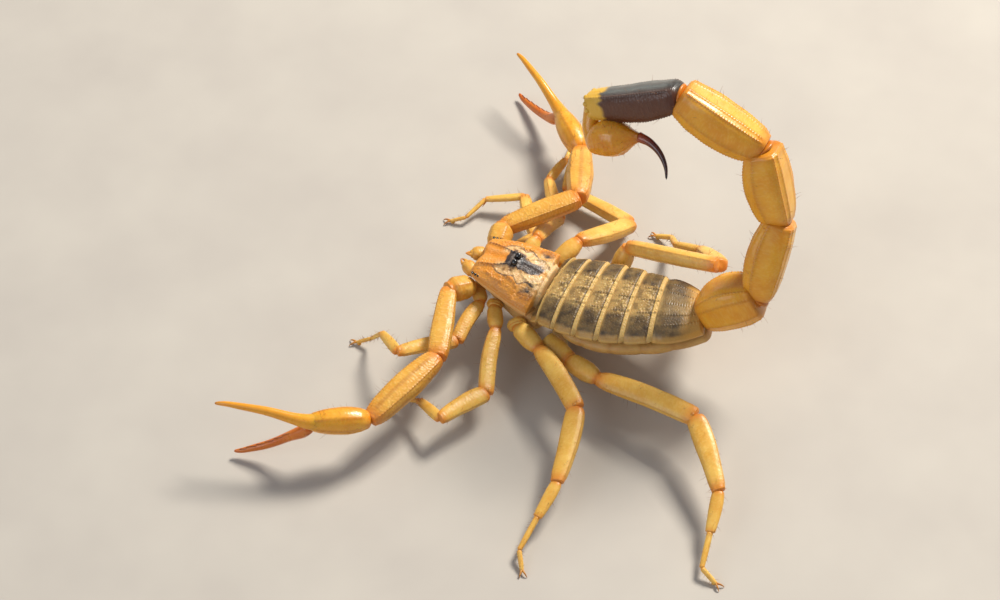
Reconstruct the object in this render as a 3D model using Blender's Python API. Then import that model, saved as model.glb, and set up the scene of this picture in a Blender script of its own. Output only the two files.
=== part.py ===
"""Yellow desert scorpion, life size, standing with its tail arched over.

Metres, +Z up.  The head points along -Y, the scorpion's left side is +X, and the eight feet
stand on the floor at Z = 0.  Every limb is a chain of named lengths, headings and pitches.
A heading is turned from +X towards +Y and a pitch is the rise above level, both in degrees.
"""
import bpy
import numpy as np
from math import radians, sin, cos, asin, pi

MM = 0.001
GAP = 0.10             # half the parting between two plates that meet, mm

# ---- front body -----------------------------------------------------------------------
FRONT_HEIGHT = 6.8     # rear edge of the carapace above the floor
FRONT_PLACE = (0.552, -0.293)   # sets the whole animal's outline centrally over the origin
FRONT_YAW = -5.0       # the head turns a little to its right
FRONT_PITCH = 10.0     # and is carried a little high
CARAPACE_LENGTH = 9.2
CARAPACE_REAR_HALF = 5.35
CARAPACE_FRONT_HALF = 2.9
CARAPACE_DOME = 2.3
EYE_STATION = -4.8     # middle eyes, from the carapace's rear edge
EYE_RADIUS = 0.40

# ---- seven back plates: length along the body, half width at the rear edge ---------------
BACK_STEPS = (1.1, 2.1, 2.6, 2.6, 2.75, 3.05, 5.5)
BACK_HALVES = (5.5, 5.9, 6.1, 6.1, 5.75, 5.1, 2.9)
BACK_TURN_START, BACK_TURN_END = -8.0, 10.0
BACK_RISE = 8.0
BACK_DOME = 1.9
BELLY_DEPTH = 2.7

# ---- legs: lengths of trochanter, femur, patella, tibia, two tarsus joints ---------------
LEG_LENGTHS = {1: (2.2, 6.2, 7.5, 5.0, 3.5, 2.1), 2: (3.2, 8.8, 6.9, 4.4, 4.2, 2.4),
               3: (4.3, 10.2, 9.9, 4.8, 4.4, 2.4), 4: (4.6, 13.0, 9.8, 5.0, 4.3, 2.4)}
LEG_HIPS = {1: (2.5, -7.8, -2.6), 2: (4.1, -4.9, -2.3), 3: (5.3, -1.3, -2.3), 4: (7.1, 6.1, -1.4)}
LEG_COXAE = {1: (1.95, -7.9, -2.6), 2: (3.45, -5.1, -2.5), 3: (4.65, -1.7, -2.5), 4: (5.4, 2.7, -2.1)}
LEG_HALF_HEIGHTS = {1: (0.90, 0.95, 0.92, 0.92, 0.66, 0.48, 0.38),
                    2: (1.00, 1.05, 0.98, 1.05, 0.66, 0.50, 0.40),
                    3: (1.15, 1.30, 1.20, 1.18, 0.78, 0.58, 0.44),
                    4: (1.15, 1.38, 1.28, 1.22, 0.82, 0.60, 0.46)}
LEG_FLATNESS = 0.64    # half width over half height
FOOT_HEIGHT = 0.36     # middle of the last joint's tip above the floor
# (heading, pitch) of each length; the patella's pitch is solved so that the foot lands
LEG_POSES = {
    "l1": ((28, -2), (-7, -5), (-51, -16), (-135, -20), (-117, -54), (-77, -28)),
    "l2": ((22, -8), (13, -9), (-32, -11), (-125, -13), (-100, -26), (-36, -22)),
    "l3": ((56, 1), (45, 2), (6, -12), (-10, -16), (-9, -15), (28, -22)),
    "l4": ((69, 2), (79, 6), (34, -12), (6, -19), (5, -17), (66, -22)),
    "r1": ((160, -38), (158, -12), (-148, -8), (-72, -9), (-26, -13), (-70, -18)),
    "r2": ((165, 22), (178, -30), (-150, -4), (170, -5), (-178, -7), (-160, -16)),
    "r3": ((150, 22), (153, -24), (-106, -4), (-168, -5), (180, -7), (-170, -16)),
    "r4": ((150, 66), (79, 17), (-148, -34), (-118, -30), (-155, -36), (-100, -24))}

# ---- pedipalps --------------------------------------------------------------------------
PALP_ROOT = (3.3, -8.4, -1.6)
PALP_KNOB = {"l": (5.9, -10.4, -1.0), "r": (-6.6, -8.9, -1.4)}
PALP_LENGTHS = (9.9, 11.3, 7.3)
FIXED_FINGER, MOVING_FINGER = 10.9, 10.1
PALP_POSES = {"l": ((13, -3), (-23, -6), (-61, 6), (-79, 11), (-72, -30)),
              "r": ((129, 10), (-163, -16), (-139, -3), (-130, 11), (-127, -21))}

# ---- tail: length, half width, half height, heading, pitch ------------------------------
TAIL = (("tail_segment_1", 7.6, 2.55, 2.25, 108, 45.5),
        ("tail_segment_2", 9.3, 2.50, 2.30, 164.5, 62.5),
        ("tail_segment_3", 9.6, 2.50, 2.35, -121, 66.5),
        ("tail_segment_4", 11.0, 2.40, 2.30, -97, 20),
        ("tail_segment_5", 12.3, 2.10, 1.95, -93.5, -28.5))
TAIL_TWIST = (12, 26, 33, 30, 27)     # degrees each joint's section is rolled about its length
VESICLE_LENGTH = 6.2
VESICLE_HALF = 2.12
VESICLE_AIM = (84, 24)
STING_AIM = (84, 2)
STING_LENGTH = 6.2

COLOURS = {
    "amber": ((0.80, 0.36, 0.07), 0.38), "straw": ((0.83, 0.52, 0.16), 0.42),
    "back_grey": ((0.20, 0.15, 0.09), 0.52), "carapace": ((0.62, 0.32, 0.10), 0.48),
    "dark_tail": ((0.09, 0.035, 0.015), 0.40), "sting": ((0.05, 0.012, 0.008), 0.22),
    "belly": ((0.80, 0.58, 0.28), 0.50), "eye": ((0.01, 0.01, 0.012), 0.08),
    "finger": ((0.72, 0.22, 0.05), 0.36), "comb": ((0.84, 0.66, 0.40), 0.50)}


# ---- scene and materials ----------------------------------------------------------------
def clear_scene():
    for ob in list(bpy.data.objects):
        bpy.data.objects.remove(ob, do_unlink=True)


def make_material(slot):
    colour, roughness = COLOURS[slot]
    mat = bpy.data.materials.new(slot)
    mat.use_nodes = True
    shader = mat.node_tree.nodes["Principled BSDF"]
    shader.inputs["Base Color"].default_value = (*colour, 1.0)
    shader.inputs["Roughness"].default_value = roughness
    shader.inputs["Metallic"].default_value = 0.0
    mat.diffuse_color = (*colour, 1.0)
    return mat


def add_solid(name, rings, slot):
    """A closed solid through equal rings of points in mm, with a fan over each end."""
    rings = [np.asarray(r, float) for r in rings]
    count, n = len(rings), len(rings[0])
    points = np.vstack(rings + [rings[0].mean(0)[None], rings[-1].mean(0)[None]])
    faces = []
    for i in range(count - 1):
        for j in range(n):
            k = (j + 1) % n
            faces.append((i * n + j, i * n + k, (i + 1) * n + k, (i + 1) * n + j))
    first, last = count * n, count * n + 1
    for j in range(n):
        k = (j + 1) % n
        faces.append((first, k, j))
        faces.append((last, (count - 1) * n + j, (count - 1) * n + k))
    origin = points.mean(0)
    mesh = bpy.data.meshes.new(name)
    mesh.from_pydata(((points - origin) * MM).tolist(), [], faces)
    mesh.validate()
    ob = bpy.data.objects.new(name, mesh)
    ob.location = (origin * MM).tolist()
    ob.data.materials.append(MATERIALS[slot])
    MODEL.objects.link(ob)
    face_outward(mesh)
    return ob


def face_outward(mesh):
    """Turns every face outward by the sign of the enclosed volume."""
    mesh.calc_loop_triangles()
    co = np.array([v.co[:] for v in mesh.vertices])
    tri = np.array([t.vertices[:] for t in mesh.loop_triangles])
    a, b, c = co[tri[:, 0]], co[tri[:, 1]], co[tri[:, 2]]
    if np.einsum("ij,ij->i", a, np.cross(b, c)).sum() < 0:
        mesh.flip_normals()


# ---- directions, frames and sections ----------------------------------------------------
def aim(heading, pitch):
    h, p = radians(heading), radians(pitch)
    return np.array([cos(h) * cos(p), sin(h) * cos(p), sin(p)])


def unit(v):
    return v / np.linalg.norm(v)


def turn_onto(v, old, new):
    """Carries v through the smallest turn that takes direction old to direction new."""
    axis = np.cross(old, new)
    s, c = np.linalg.norm(axis), float(old @ new)
    if s < 1e-9:
        return v
    axis = axis / s
    return v * c + np.cross(axis, v) * s + axis * (axis @ v) * (1 - c)


def section(n, half_width, half_height, power=2.0):
    """n points of a superellipse, as (across, up) pairs."""
    t = (np.arange(n) + 0.5) * 2 * pi / n
    c, s = np.cos(t), np.sin(t)
    e = 2.0 / power
    return np.stack([half_width * np.sign(c) * np.abs(c) ** e,
                     half_height * np.sign(s) * np.abs(s) ** e], 1)


def front_frame():
    """Left, tailward and up directions of the front body, and its origin."""
    y, p = radians(FRONT_YAW), radians(FRONT_PITCH)
    tail = np.array([-sin(y) * cos(p), cos(y) * cos(p), -sin(p)])
    left = np.array([cos(y), sin(y), 0.0])
    return left, tail, np.cross(left, tail), np.array([*FRONT_PLACE, FRONT_HEIGHT])


def on_front(x, y, z):
    left, tail, up, origin = front_frame()
    return origin + left * x + tail * y + up * z


def mitre(offsets, along, normal, limit):
    """Slides points of a cross-section along a segment on to the plane through its end."""
    rate = float(along @ normal)
    slide = -(offsets @ normal) / rate
    return np.clip(slide, -limit[0], limit[1])


def chain(joints, first_side, profiles, sides, starts_after=None, ends_before=None,
          reach=0.55):
    """Rings of one jointed piece.  joints are its points; profiles gives, per segment, a list of
    (place, half width, half height, power, lift); sides is the point count of a ring.
    starts_after and ends_before are the neighbouring segments' directions, or None for a free end.
    The piece is parted from each neighbour on the plane that halves the angle between them."""
    dirs = [unit(b - a) for a, b in zip(joints[:-1], joints[1:])]
    rings, side = [], first_side
    for i, d in enumerate(dirs):
        if i:
            side = turn_onto(side, dirs[i - 1], d)
        side = unit(side - d * (side @ d))
        up = np.cross(side, d)
        length = np.linalg.norm(joints[i + 1] - joints[i])
        before = dirs[i - 1] if i else starts_after
        after = dirs[i + 1] if i + 1 < len(dirs) else ends_before
        start_gap = GAP if (i == 0 and starts_after is not None) else 0.0
        end_gap = GAP if (i + 1 == len(dirs) and ends_before is not None) else 0.0
        rows = profiles[i]
        grid = []
        for place, w, h, power, lift in rows:
            flat = section(sides, w, h, power)
            grid.append((place, flat[:, :1] * side + (flat[:, 1:] + lift) * up))
        lo = np.zeros(sides) if before is None else mitre(
            grid[0][1], d, unit(before + d), (reach, 0.45 * length))
        hi = np.zeros(sides) if after is None else mitre(
            grid[-1][1], d, unit(d + after), (0.45 * length, reach))
        widen_lo = 1.0 if before is None else 1.0 / max(0.35, float(unit(before + d) @ d))
        widen_hi = 1.0 if after is None else 1.0 / max(0.35, float(unit(d + after) @ d))
        lo = lo + start_gap * widen_lo
        hi = hi + length - end_gap * widen_hi
        for k, (place, offsets) in enumerate(grid):
            if k == 0 and i > 0:
                continue
            along = lo * (1 - place) + hi * place
            rings.append(joints[i] + offsets + along[:, None] * d)
    return rings, side


# ---- body plates ------------------------------------------------------------------------
def plate_ring(centre, left, up, half, dome, thick, power=2.2):
    """A D-shaped section: a domed top over a shallow flat underside."""
    t = np.linspace(0, pi, 9)
    x = half * np.sign(np.cos(t)) * np.abs(np.cos(t)) ** (2 / power)
    z = dome * np.abs(np.sin(t)) ** 0.9
    top = centre + x[:, None] * left + z[:, None] * up
    lower = np.array([-0.93, -0.45, 0.45, 0.93]) * half
    deep = np.array([-thick, -thick, -thick, -thick])
    return np.vstack([top, centre + lower[:, None] * left + deep[:, None] * up])


def carapace_half(s):
    """Half width at s, 0 at the front edge and 1 at the rear edge."""
    swell = CARAPACE_FRONT_HALF + (CARAPACE_REAR_HALF - CARAPACE_FRONT_HALF) * s ** 0.72
    return swell * (1 - 0.05 * max(0.0, s - 0.85) / 0.15)


def neck_frame():
    """Left, tailward and up on the plane where the carapace meets the first back plate."""
    left, tail, up, _ = front_frame()
    left_b, tail_b, _ = spine_frame(BACK_TURN_START)
    mid = unit(tail + tail_b)
    side = unit(left + left_b)
    side = unit(side - mid * (side @ mid))
    return side, mid, np.cross(side, mid)


def tail_root_frame():
    """The same on the plane where the body meets the first tail joint."""
    left, tail, _ = spine_frame(BACK_TURN_END)
    mid = unit(tail + aim(TAIL[0][4], TAIL[0][5]))
    side = unit(left - mid * (left @ mid))
    return side, mid, np.cross(side, mid)


def build_carapace():
    left, tail, up, _ = front_frame()
    join_left, join_tail, join_up = neck_frame()
    rings = []
    for s in (0.0, 0.05, 0.2, 0.36, 0.42, 0.5, 0.7, 0.92, 1.0):
        y = -CARAPACE_LENGTH * (1 - s) - GAP
        dome = CARAPACE_DOME * (0.42 + 0.58 * min(1.0, s / 0.45)) * (1 - 0.18 * max(0.0, s - 0.5))
        if s in (0.36, 0.42):
            dome += 0.12
        if s == 1.0:
            rings.append(plate_ring(on_front(0, 0, 0) - join_tail * GAP, join_left, join_up,
                                    carapace_half(s), dome, 0.55))
        else:
            rings.append(plate_ring(on_front(0, y, -0.15 if s == 0 else 0), left, up,
                                    carapace_half(s) * (0.93 if s == 0 else 1.0), dome, 0.55))
    add_solid("carapace", rings, "carapace")


def build_eyes():
    for sign, name in ((1, "eye_left"), (-1, "eye_right")):
        centre = on_front(sign * 0.52, EYE_STATION, CARAPACE_DOME + 0.02)
        rings = []
        for k in range(5):
            a = -pi / 2 * 0.86 + k * pi * 0.86 / 4
            flat = section(8, EYE_RADIUS * cos(a), EYE_RADIUS * cos(a))
            left, tail, up, _ = front_frame()
            rings.append(centre + flat[:, :1] * left + flat[:, 1:] * tail
                         + up * (EYE_RADIUS * sin(a) + 0.34))
        add_solid(name, rings, "eye")


def build_coxal_block():
    """The sternum and the fused roots between the legs."""
    left, tail, up, _ = front_frame()
    rings = []
    for y, half, deep in ((-8.5, 1.1, 1.5), (-7.6, 1.55, 1.9), (-4.9, 2.95, 2.5), (-1.4, 4.1, 2.7),
                          (0.4, 4.25, 2.6), (1.6, 3.0, 2.3)):
        x = np.array([0.96, 1.0, 0.62, 0.0, -0.62, -1.0, -0.96, 0.0]) * half
        z = -np.array([0.85, 1.9, 1.35 + deep, 1.5 + deep, 1.35 + deep, 1.9, 0.85, 0.85])
        rings.append(on_front(0, y, 0) + x[:, None] * left + z[:, None] * up)
    add_solid("coxal_block", rings, "belly")


def spine():
    """Points, left directions and half widths along the back, from the carapace to the tail."""
    point = on_front(0, 0, 0)
    total, run = sum(BACK_STEPS), 0.0
    stations = [(point.copy(), BACK_TURN_START, 5.3)]
    for step, half in zip(BACK_STEPS, BACK_HALVES):
        turn = BACK_TURN_START + (BACK_TURN_END - BACK_TURN_START) * (run + step / 2) / total
        run += step
        point = point + step * aim(90 + turn, BACK_RISE)
        here = BACK_TURN_START + (BACK_TURN_END - BACK_TURN_START) * run / total
        stations.append((point.copy(), here, half))
    return stations


def spine_frame(turn):
    left = np.array([cos(radians(turn)), sin(radians(turn)), 0.0])
    tail = aim(90 + turn, BACK_RISE)
    return left, tail, np.cross(left, tail)


def build_back_plates():
    stations = spine()
    for i in range(7):
        (a, turn_a, half_a), (b, turn_b, half_b) = stations[i], stations[i + 1]
        left_a, tail_a, up_a = spine_frame(turn_a)
        left_b, tail_b, up_b = spine_frame(turn_b)
        dome_a = BACK_DOME * (1.0 if i < 6 else 0.98)
        dome_b = BACK_DOME * (1.0 if i < 6 else 0.80)
        if i == 0:
            left_a, tail_a, up_a = neck_frame()
        rings = [plate_ring(a + tail_a * GAP, left_a, up_a, half_a - 0.12, dome_a - 0.14, 0.5)]
        for f in (0.5,) if i < 6 else (0.3, 0.7):
            half = half_a * (1 - f) + half_b * f + (0.0 if i < 6 else 0.55 * f * (1 - f) * 4)
            mid = unit(left_a * (1 - f) + left_b * f)
            rise = unit(up_a * (1 - f) + up_b * f)
            rings.append(plate_ring(a * (1 - f) + b * f, mid, rise, half,
                                    dome_a * (1 - f) + dome_b * f, 0.5))
        if i == 6:
            left_b, tail_b, up_b = tail_root_frame()
        rings.append(plate_ring(b - tail_b * GAP, left_b, up_b, half_b, dome_b, 0.5))
        add_solid("back_plate_%d" % (i + 1), rings, "back_grey")


def belly_ring(centre, left, up, half, deep):
    t = np.linspace(0, pi, 9)
    x = half * np.sign(np.cos(t)) * np.abs(np.cos(t)) ** 0.8
    z = -0.85 - deep * np.abs(np.sin(t)) ** 0.75
    top = np.array([-0.6, 0.0, 0.6]) * half
    return np.vstack([centre + x[:, None] * left + z[:, None] * up,
                      centre + top[:, None] * left - 0.72 * up])


def build_belly():
    stations = spine()
    rings = []
    for k, f, shrink, deep in ((2, 0.0, 0.80, 0.75), (2, 0.6, 0.93, 0.92), (4, 0.0, 1.0, 1.0),
                               (6, 0.0, 1.0, 0.92), (6, 0.5, 1.02, 0.85), (7, 0.0, 0.98, 0.72)):
        a, turn, half = stations[k]
        b = stations[min(k + 1, 7)]
        here = a * (1 - f) + b[0] * f
        left, tail, up = spine_frame(turn * (1 - f) + b[1] * f)
        if k == 7:
            left, tail, up = tail_root_frame()
            here = here - tail * GAP
        rings.append(belly_ring(here, left, up, (half * (1 - f) + b[2] * f) * shrink,
                                BELLY_DEPTH * deep))
    add_solid("belly", rings, "belly")


def build_combs():
    """The pair of toothed combs behind the leg roots, each a slim flat bar."""
    for sign, name in ((1, "comb_left"), (-1, "comb_right")):
        left, tail, up, _ = front_frame()
        a = on_front(sign * 0.8, 2.2, -4.75)
        b = on_front(sign * 5.6, 5.9, -5.35)
        along = unit(b - a)
        across = unit(np.cross(up, along))
        rings = []
        for f, half in ((0, 0.5), (0.25, 0.95), (0.7, 0.9), (1.0, 0.45)):
            flat = section(6, half, 0.32)
            rings.append(a + (b - a) * f + flat[:, :1] * across + flat[:, 1:] * up)
        add_solid(name, rings, "comb")


# ---- limbs ------------------------------------------------------------------------------
def bar(width, height, ends=(0.8, 0.8), power=2.4, belly=0.5):
    """Profile of one limb joint: narrow ends and a swelling in between."""
    return [(0.0, width * ends[0], height * ends[0], power, 0.0),
            (0.18, width * 0.93, height * 0.93, power, 0.0),
            (belly, width, height, power, 0.0),
            (0.85, width * 0.95, height * 0.95, power, 0.0),
            (1.0, width * ends[1], height * ends[1], power, 0.0)]


def leg_points(side, number):
    """The seven joints of a leg, with the patella's pitch solved so that the tip meets the floor."""
    sign = 1 if side == "l" else -1
    x, y, z = LEG_HIPS[number]
    hip = on_front(sign * x, y, z)
    lengths = LEG_LENGTHS[number]
    pose = list(LEG_POSES["%s%d" % (side, number)])
    rise = sum(l * sin(radians(p)) for k, (l, (_, p)) in enumerate(zip(lengths, pose)) if k != 2)
    pitch = asin(max(-0.97, min(0.97, (FOOT_HEIGHT - hip[2] - rise) / lengths[2])))
    pose[2] = (pose[2][0], pitch * 180 / pi)
    points = [hip]
    for length, (heading, tilt) in zip(lengths, pose):
        points.append(points[-1] + length * aim(heading, tilt))
    return points


def build_leg(side, number):
    sign = 1 if side == "l" else -1
    x, y, z = LEG_COXAE[number]
    points = [on_front(sign * x, y, z)] + leg_points(side, number)
    h = LEG_HALF_HEIGHTS[number]
    dirs = [unit(b - a) for a, b in zip(points[:-1], points[1:])]
    plane = unit(np.cross(dirs[2], dirs[3]))
    start = unit(plane - dirs[0] * (plane @ dirs[0]))
    w = [v * LEG_FLATNESS for v in h]
    hip_rows = [[(0.0, h[0] * 0.8, h[0] * 0.9, 2.2, 0), (1.0, h[1] * 0.8, h[1] * 0.8, 2.2, 0)],
                [(0.0, 0, 0, 2, 0), (0.45, w[1] * 1.25, h[1], 2.0, 0),
                 (1.0, w[1] * 0.85, h[1] * 0.68, 2.0, 0)],
                [(0.0, 0, 0, 2, 0)] + bar(w[2], h[2], (0.7, 0.72))[1:]]
    slot = "straw"
    tag = "leg_%s%d" % (side, number)
    rings, frame = chain(points[:4], start, hip_rows, 8, None, dirs[3])
    add_solid(tag + "_femur", rings, slot)
    frame = turn_onto(frame, dirs[2], dirs[3])
    rings, frame = chain(points[3:5], frame, [bar(w[3], h[3], (0.66, 0.55), belly=0.38)], 8,
                         dirs[2], dirs[4])
    add_solid(tag + "_patella", rings, slot)
    frame = turn_onto(frame, dirs[3], dirs[4])
    foot = [[(0.0, w[4] * 0.9, h[4] * 0.85, 2, 0), (0.25, w[4], h[4], 2, 0),
             (1.0, w[5], h[5], 2, 0)],
            [(0.0, 0, 0, 2, 0), (0.5, w[5], h[5] * 0.95, 2, 0), (1.0, w[6], h[6], 2, 0)],
            [(0.0, 0, 0, 2, 0), (0.5, w[6] * 0.95, h[6], 2, 0), (0.85, w[6] * 0.9, h[6] * 0.95, 2, 0),
             (1.0, w[6] * 0.7, h[6] * 0.8, 2, 0)]]
    rings, _ = chain(points[4:8], frame, foot, 8, dirs[3], None)
    rings = [set_on_floor(r, last=(k >= len(rings) - 2)) for k, r in enumerate(rings)]
    add_solid(tag + "_tarsus", rings, slot)


def set_on_floor(ring, last):
    """Flattens what would dip below the floor; the last two rings rest on it."""
    ring = ring.copy()
    if last:
        low = np.argsort(ring[:, 2])[:3]
        ring[low, 2] = 0.0
    ring[:, 2] = np.maximum(ring[:, 2], 0.0 if last else 0.12)
    return ring


def build_palp(side):
    sign = 1 if side == "l" else -1
    tag = "palp_" + side
    pose = PALP_POSES[side]
    root = on_front(sign * PALP_ROOT[0], PALP_ROOT[1], PALP_ROOT[2])
    knob = on_front(*PALP_KNOB[side])
    points = [root, knob]
    for length, (heading, tilt) in zip(PALP_LENGTHS, pose):
        points.append(points[-1] + length * aim(heading, tilt))
    dirs = [unit(b - a) for a, b in zip(points[:-1], points[1:])]
    level = np.cross(dirs[1], np.array([0, 0, 1.0]))
    start = turn_onto(unit(level), dirs[1], dirs[0])
    arm = [[(0.0, 0.95, 0.95, 2.2, 0), (0.3, 1.35, 1.35, 2.2, 0), (0.75, 1.45, 1.4, 2.2, 0),
            (1.0, 1.0, 1.0, 2.2, 0)],
           [(0.0, 0, 0, 2, 0), (0.15, 1.05, 0.98, 3, 0), (0.6, 1.32, 1.1, 3.2, 0),
            (0.92, 1.2, 1.0, 3, 0), (1.0, 0.9, 0.8, 2.5, 0)]]
    rings, frame = chain(points[:3], start, arm, 8, None, dirs[2])
    add_solid(tag + "_femur", rings, "straw")
    frame = turn_onto(frame, dirs[1], dirs[2])
    forearm = [(0.0, 0.85, 0.8, 2.5, 0), (0.12, 1.25, 1.15, 2.8, 0), (0.5, 1.62, 1.42, 3, 0),
               (0.9, 1.35, 1.2, 3, 0), (1.0, 1.0, 0.9, 2.5, 0)]
    rings, frame = chain(points[2:4], frame, [forearm], 8, dirs[1], dirs[3])
    add_solid(tag + "_patella", rings, "straw")
    frame = turn_onto(frame, dirs[2], dirs[3])
    build_hand(tag, points[3], points[4], dirs, frame, pose)


def build_hand(tag, wrist, knuckle, dirs, frame, pose):
    up = np.cross(frame, dirs[3])
    lift = up * 0.15
    fixed = aim(*pose[3])
    middle = knuckle + lift + fixed * FIXED_FINGER * 0.5 + up * 0.25
    tip = knuckle + lift + fixed * FIXED_FINGER - up * 0.35
    hand = [(0.0, 0.85, 0.9, 2.2, 0), (0.15, 1.35, 1.45, 2.2, 0), (0.5, 1.5, 1.62, 2.2, 0),
            (0.85, 1.2, 1.35, 2.2, 0.05), (1.0, 0.55, 0.5, 2.0, 0.15)]
    rings, side = chain([wrist, knuckle], frame, [hand], 8, dirs[2], None)
    finger = [[(0.0, 0, 0, 2, 0), (1.0, 0.46, 0.44, 2, 0)],
              [(0.0, 0, 0, 2, 0), (0.6, 0.38, 0.36, 2, 0), (1.0, 0.25, 0.25, 2, 0)]]
    more, _ = chain([knuckle + lift, middle, tip], side, finger, 8)
    add_solid(tag + "_hand", rings + more[1:] if len(more) > 3 else rings + more, "amber")
    moving = aim(*pose[4])
    base = knuckle - up * 1.3 + moving * 0.45
    mid = base + moving * MOVING_FINGER * 0.5 - up * 0.3
    end = base + moving * (MOVING_FINGER - 0.4) + up * 0.35
    row = [[(0.0, 0.42, 0.42, 2, 0), (0.3, 0.52, 0.52, 2, 0), (1.0, 0.42, 0.42, 2, 0)],
           [(0.0, 0, 0, 2, 0), (0.6, 0.36, 0.36, 2, 0), (1.0, 0.25, 0.25, 2, 0)]]
    rings, _ = chain([base, mid, end], side, row, 8)
    add_solid(tag + "_finger", rings, "finger")


def build_chelicerae():
    for sign, name in ((1, "chelicera_left"), (-1, "chelicera_right")):
        root = on_front(sign * 0.98, -8.95, -1.3)
        tip = on_front(sign * 0.85, -11.6, -1.5)
        left, _, _, _ = front_frame()
        row = [(0.0, 0.78, 0.6, 2.2, 0), (0.4, 0.86, 0.85, 2.2, 0), (0.75, 0.62, 0.6, 2.2, 0),
               (1.0, 0.26, 0.26, 2.0, 0)]
        d = unit(tip - root)
        rings, _ = chain([root, tip], unit(left - d * (left @ d)), [row], 8)
        add_solid(name, rings, "straw")


# ---- tail -------------------------------------------------------------------------------
def tail_rows(w, h, last):
    """A keeled tail joint: a slim neck, a long swelling and a squared rear edge."""
    if last:
        return [(0.0, w * 0.72, h * 0.7, 2.6, 0), (0.1, w * 0.92, h * 0.92, 3.4, 0),
                (0.4, w, h, 3.4, 0), (0.8, w * 0.86, h * 0.86, 3.2, 0), (1.0, w * 0.66, h * 0.7, 2.6, 0)]
    return [(0.0, w * 0.72, h * 0.72, 2.6, 0), (0.12, w * 0.93, h * 0.92, 3.4, 0),
            (0.5, w, h, 3.4, 0), (0.93, w * 0.97, h * 0.99, 3.6, 0), (1.0, w * 0.84, h * 0.84, 3.0, 0)]


def build_tail():
    stations = spine()
    point, turn, _ = stations[-1]
    left, tail, up = spine_frame(turn)
    point = point - 0.55 * up
    before = tail
    side = -left
    ends = [aim(h, p) for _, _, _, _, h, p in TAIL]
    for i, (name, length, w, h, _, _) in enumerate(TAIL):
        d = ends[i]
        side = turn_onto(side, before, d)
        after = ends[i + 1] if i + 1 < len(TAIL) else None
        roll = radians(TAIL_TWIST[i])
        rolled = side * cos(roll) + np.cross(side, d) * sin(roll)
        rings, _ = chain([point, point + length * d], rolled, [tail_rows(w, h, after is None)], 12,
                         before, after)
        add_solid(name, rings, "amber" if after is not None else "dark_tail")
        point = point + length * d
        before = d
    build_telson(point, before, side)


def build_telson(end, along, side):
    """The venom bulb, folded back under the last tail joint, and its sting."""
    inner = np.cross(side, along)
    aimed = aim(*VESICLE_AIM)
    if inner[2] > 0:
        inner = -inner
    start = end + inner * 3.75 + along * 0.2
    stop = start + aimed * VESICLE_LENGTH
    across = unit(side - aimed * (side @ aimed))
    s = VESICLE_HALF
    row = [(0.0, s * 0.34, s * 0.34, 2, 0.5), (0.07, s * 0.6, s * 0.62, 2, 0.3),
           (0.2, s * 0.84, s * 0.88, 2, 0.1), (0.42, s * 0.95, s, 2, 0), (0.65, s * 0.86, s * 0.92, 2, 0),
           (0.85, s * 0.58, s * 0.62, 2, 0), (1.0, s * 0.28, s * 0.28, 2, 0)]
    rings, frame = chain([start, stop], across, [row], 12)
    add_solid("venom_bulb", rings, "amber")
    base = stop + aimed * 2 * GAP
    aimed = aim(*STING_AIM)
    across = unit(across - aimed * (across @ aimed))
    down = unit(np.cross(aimed, across))
    if down[2] > 0:
        down = -down
    rings = []
    for f in np.linspace(0, 1, 7):
        bend = radians(78) * f
        place = base + STING_LENGTH / radians(78) * (sin(bend) * aimed + (1 - cos(bend)) * down)
        facing = cos(bend) * aimed + sin(bend) * down
        lift = np.cross(across, facing)
        r = 0.56 * (1 - f) ** 0.8 + 0.14 * f
        flat = section(8, r, r)
        rings.append(place + flat[:, :1] * across + flat[:, 1:] * lift)
    add_solid("sting", rings, "sting")


def build():
    build_carapace()
    build_eyes()
    build_chelicerae()
    build_coxal_block()
    build_back_plates()
    build_belly()
    build_combs()
    for side in ("l", "r"):
        for number in (1, 2, 3, 4):
            build_leg(side, number)
        build_palp(side)
    build_tail()


clear_scene()
MODEL = bpy.data.collections.new("desert_scorpion")
bpy.context.scene.collection.children.link(MODEL)
MATERIALS = {slot: make_material(slot) for slot in COLOURS}
build()
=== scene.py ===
"""Yellow desert scorpion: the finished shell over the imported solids, joint by joint.

Every plate and joint is one closed surface worked out from the solids' own rings, in millimetres.
Tones laid along each surface (grain, keel, joint, dusk, pale) steer the colours of its material.
"""
import bpy
import numpy as np
from math import radians, sin, cos, pi, tau
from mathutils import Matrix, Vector


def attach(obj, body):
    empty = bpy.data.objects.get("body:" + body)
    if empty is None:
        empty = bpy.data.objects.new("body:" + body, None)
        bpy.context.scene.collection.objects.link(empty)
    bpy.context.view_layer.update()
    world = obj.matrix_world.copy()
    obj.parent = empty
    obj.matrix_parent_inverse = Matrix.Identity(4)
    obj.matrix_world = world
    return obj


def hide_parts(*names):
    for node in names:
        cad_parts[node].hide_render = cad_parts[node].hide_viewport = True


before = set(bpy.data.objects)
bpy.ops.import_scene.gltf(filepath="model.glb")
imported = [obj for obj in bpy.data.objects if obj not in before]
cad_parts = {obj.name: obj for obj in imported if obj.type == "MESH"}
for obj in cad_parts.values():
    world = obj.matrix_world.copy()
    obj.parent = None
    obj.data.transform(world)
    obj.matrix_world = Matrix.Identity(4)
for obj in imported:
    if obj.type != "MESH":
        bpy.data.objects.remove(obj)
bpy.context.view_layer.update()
MM = 0.001
TONES = ("grain", "keel", "joint", "dusk", "pale")
UP = np.array([0.0, 0.0, 1.0])
HAIRS = []                                  # (roots, directions, lengths, places) of each limb
HAIR_RADIUS = 0.020                         # mm, at a bristle's root
HAIR_PATCH = 0.003                          # how wide a bristle's own patch of the OFBake map is
LEG_SEED, LEFT_ARM_SEED, RIGHT_ARM_SEED, TAIL_SEED, BULB_SEED = 20, 211, 331, 401, 77


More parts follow.
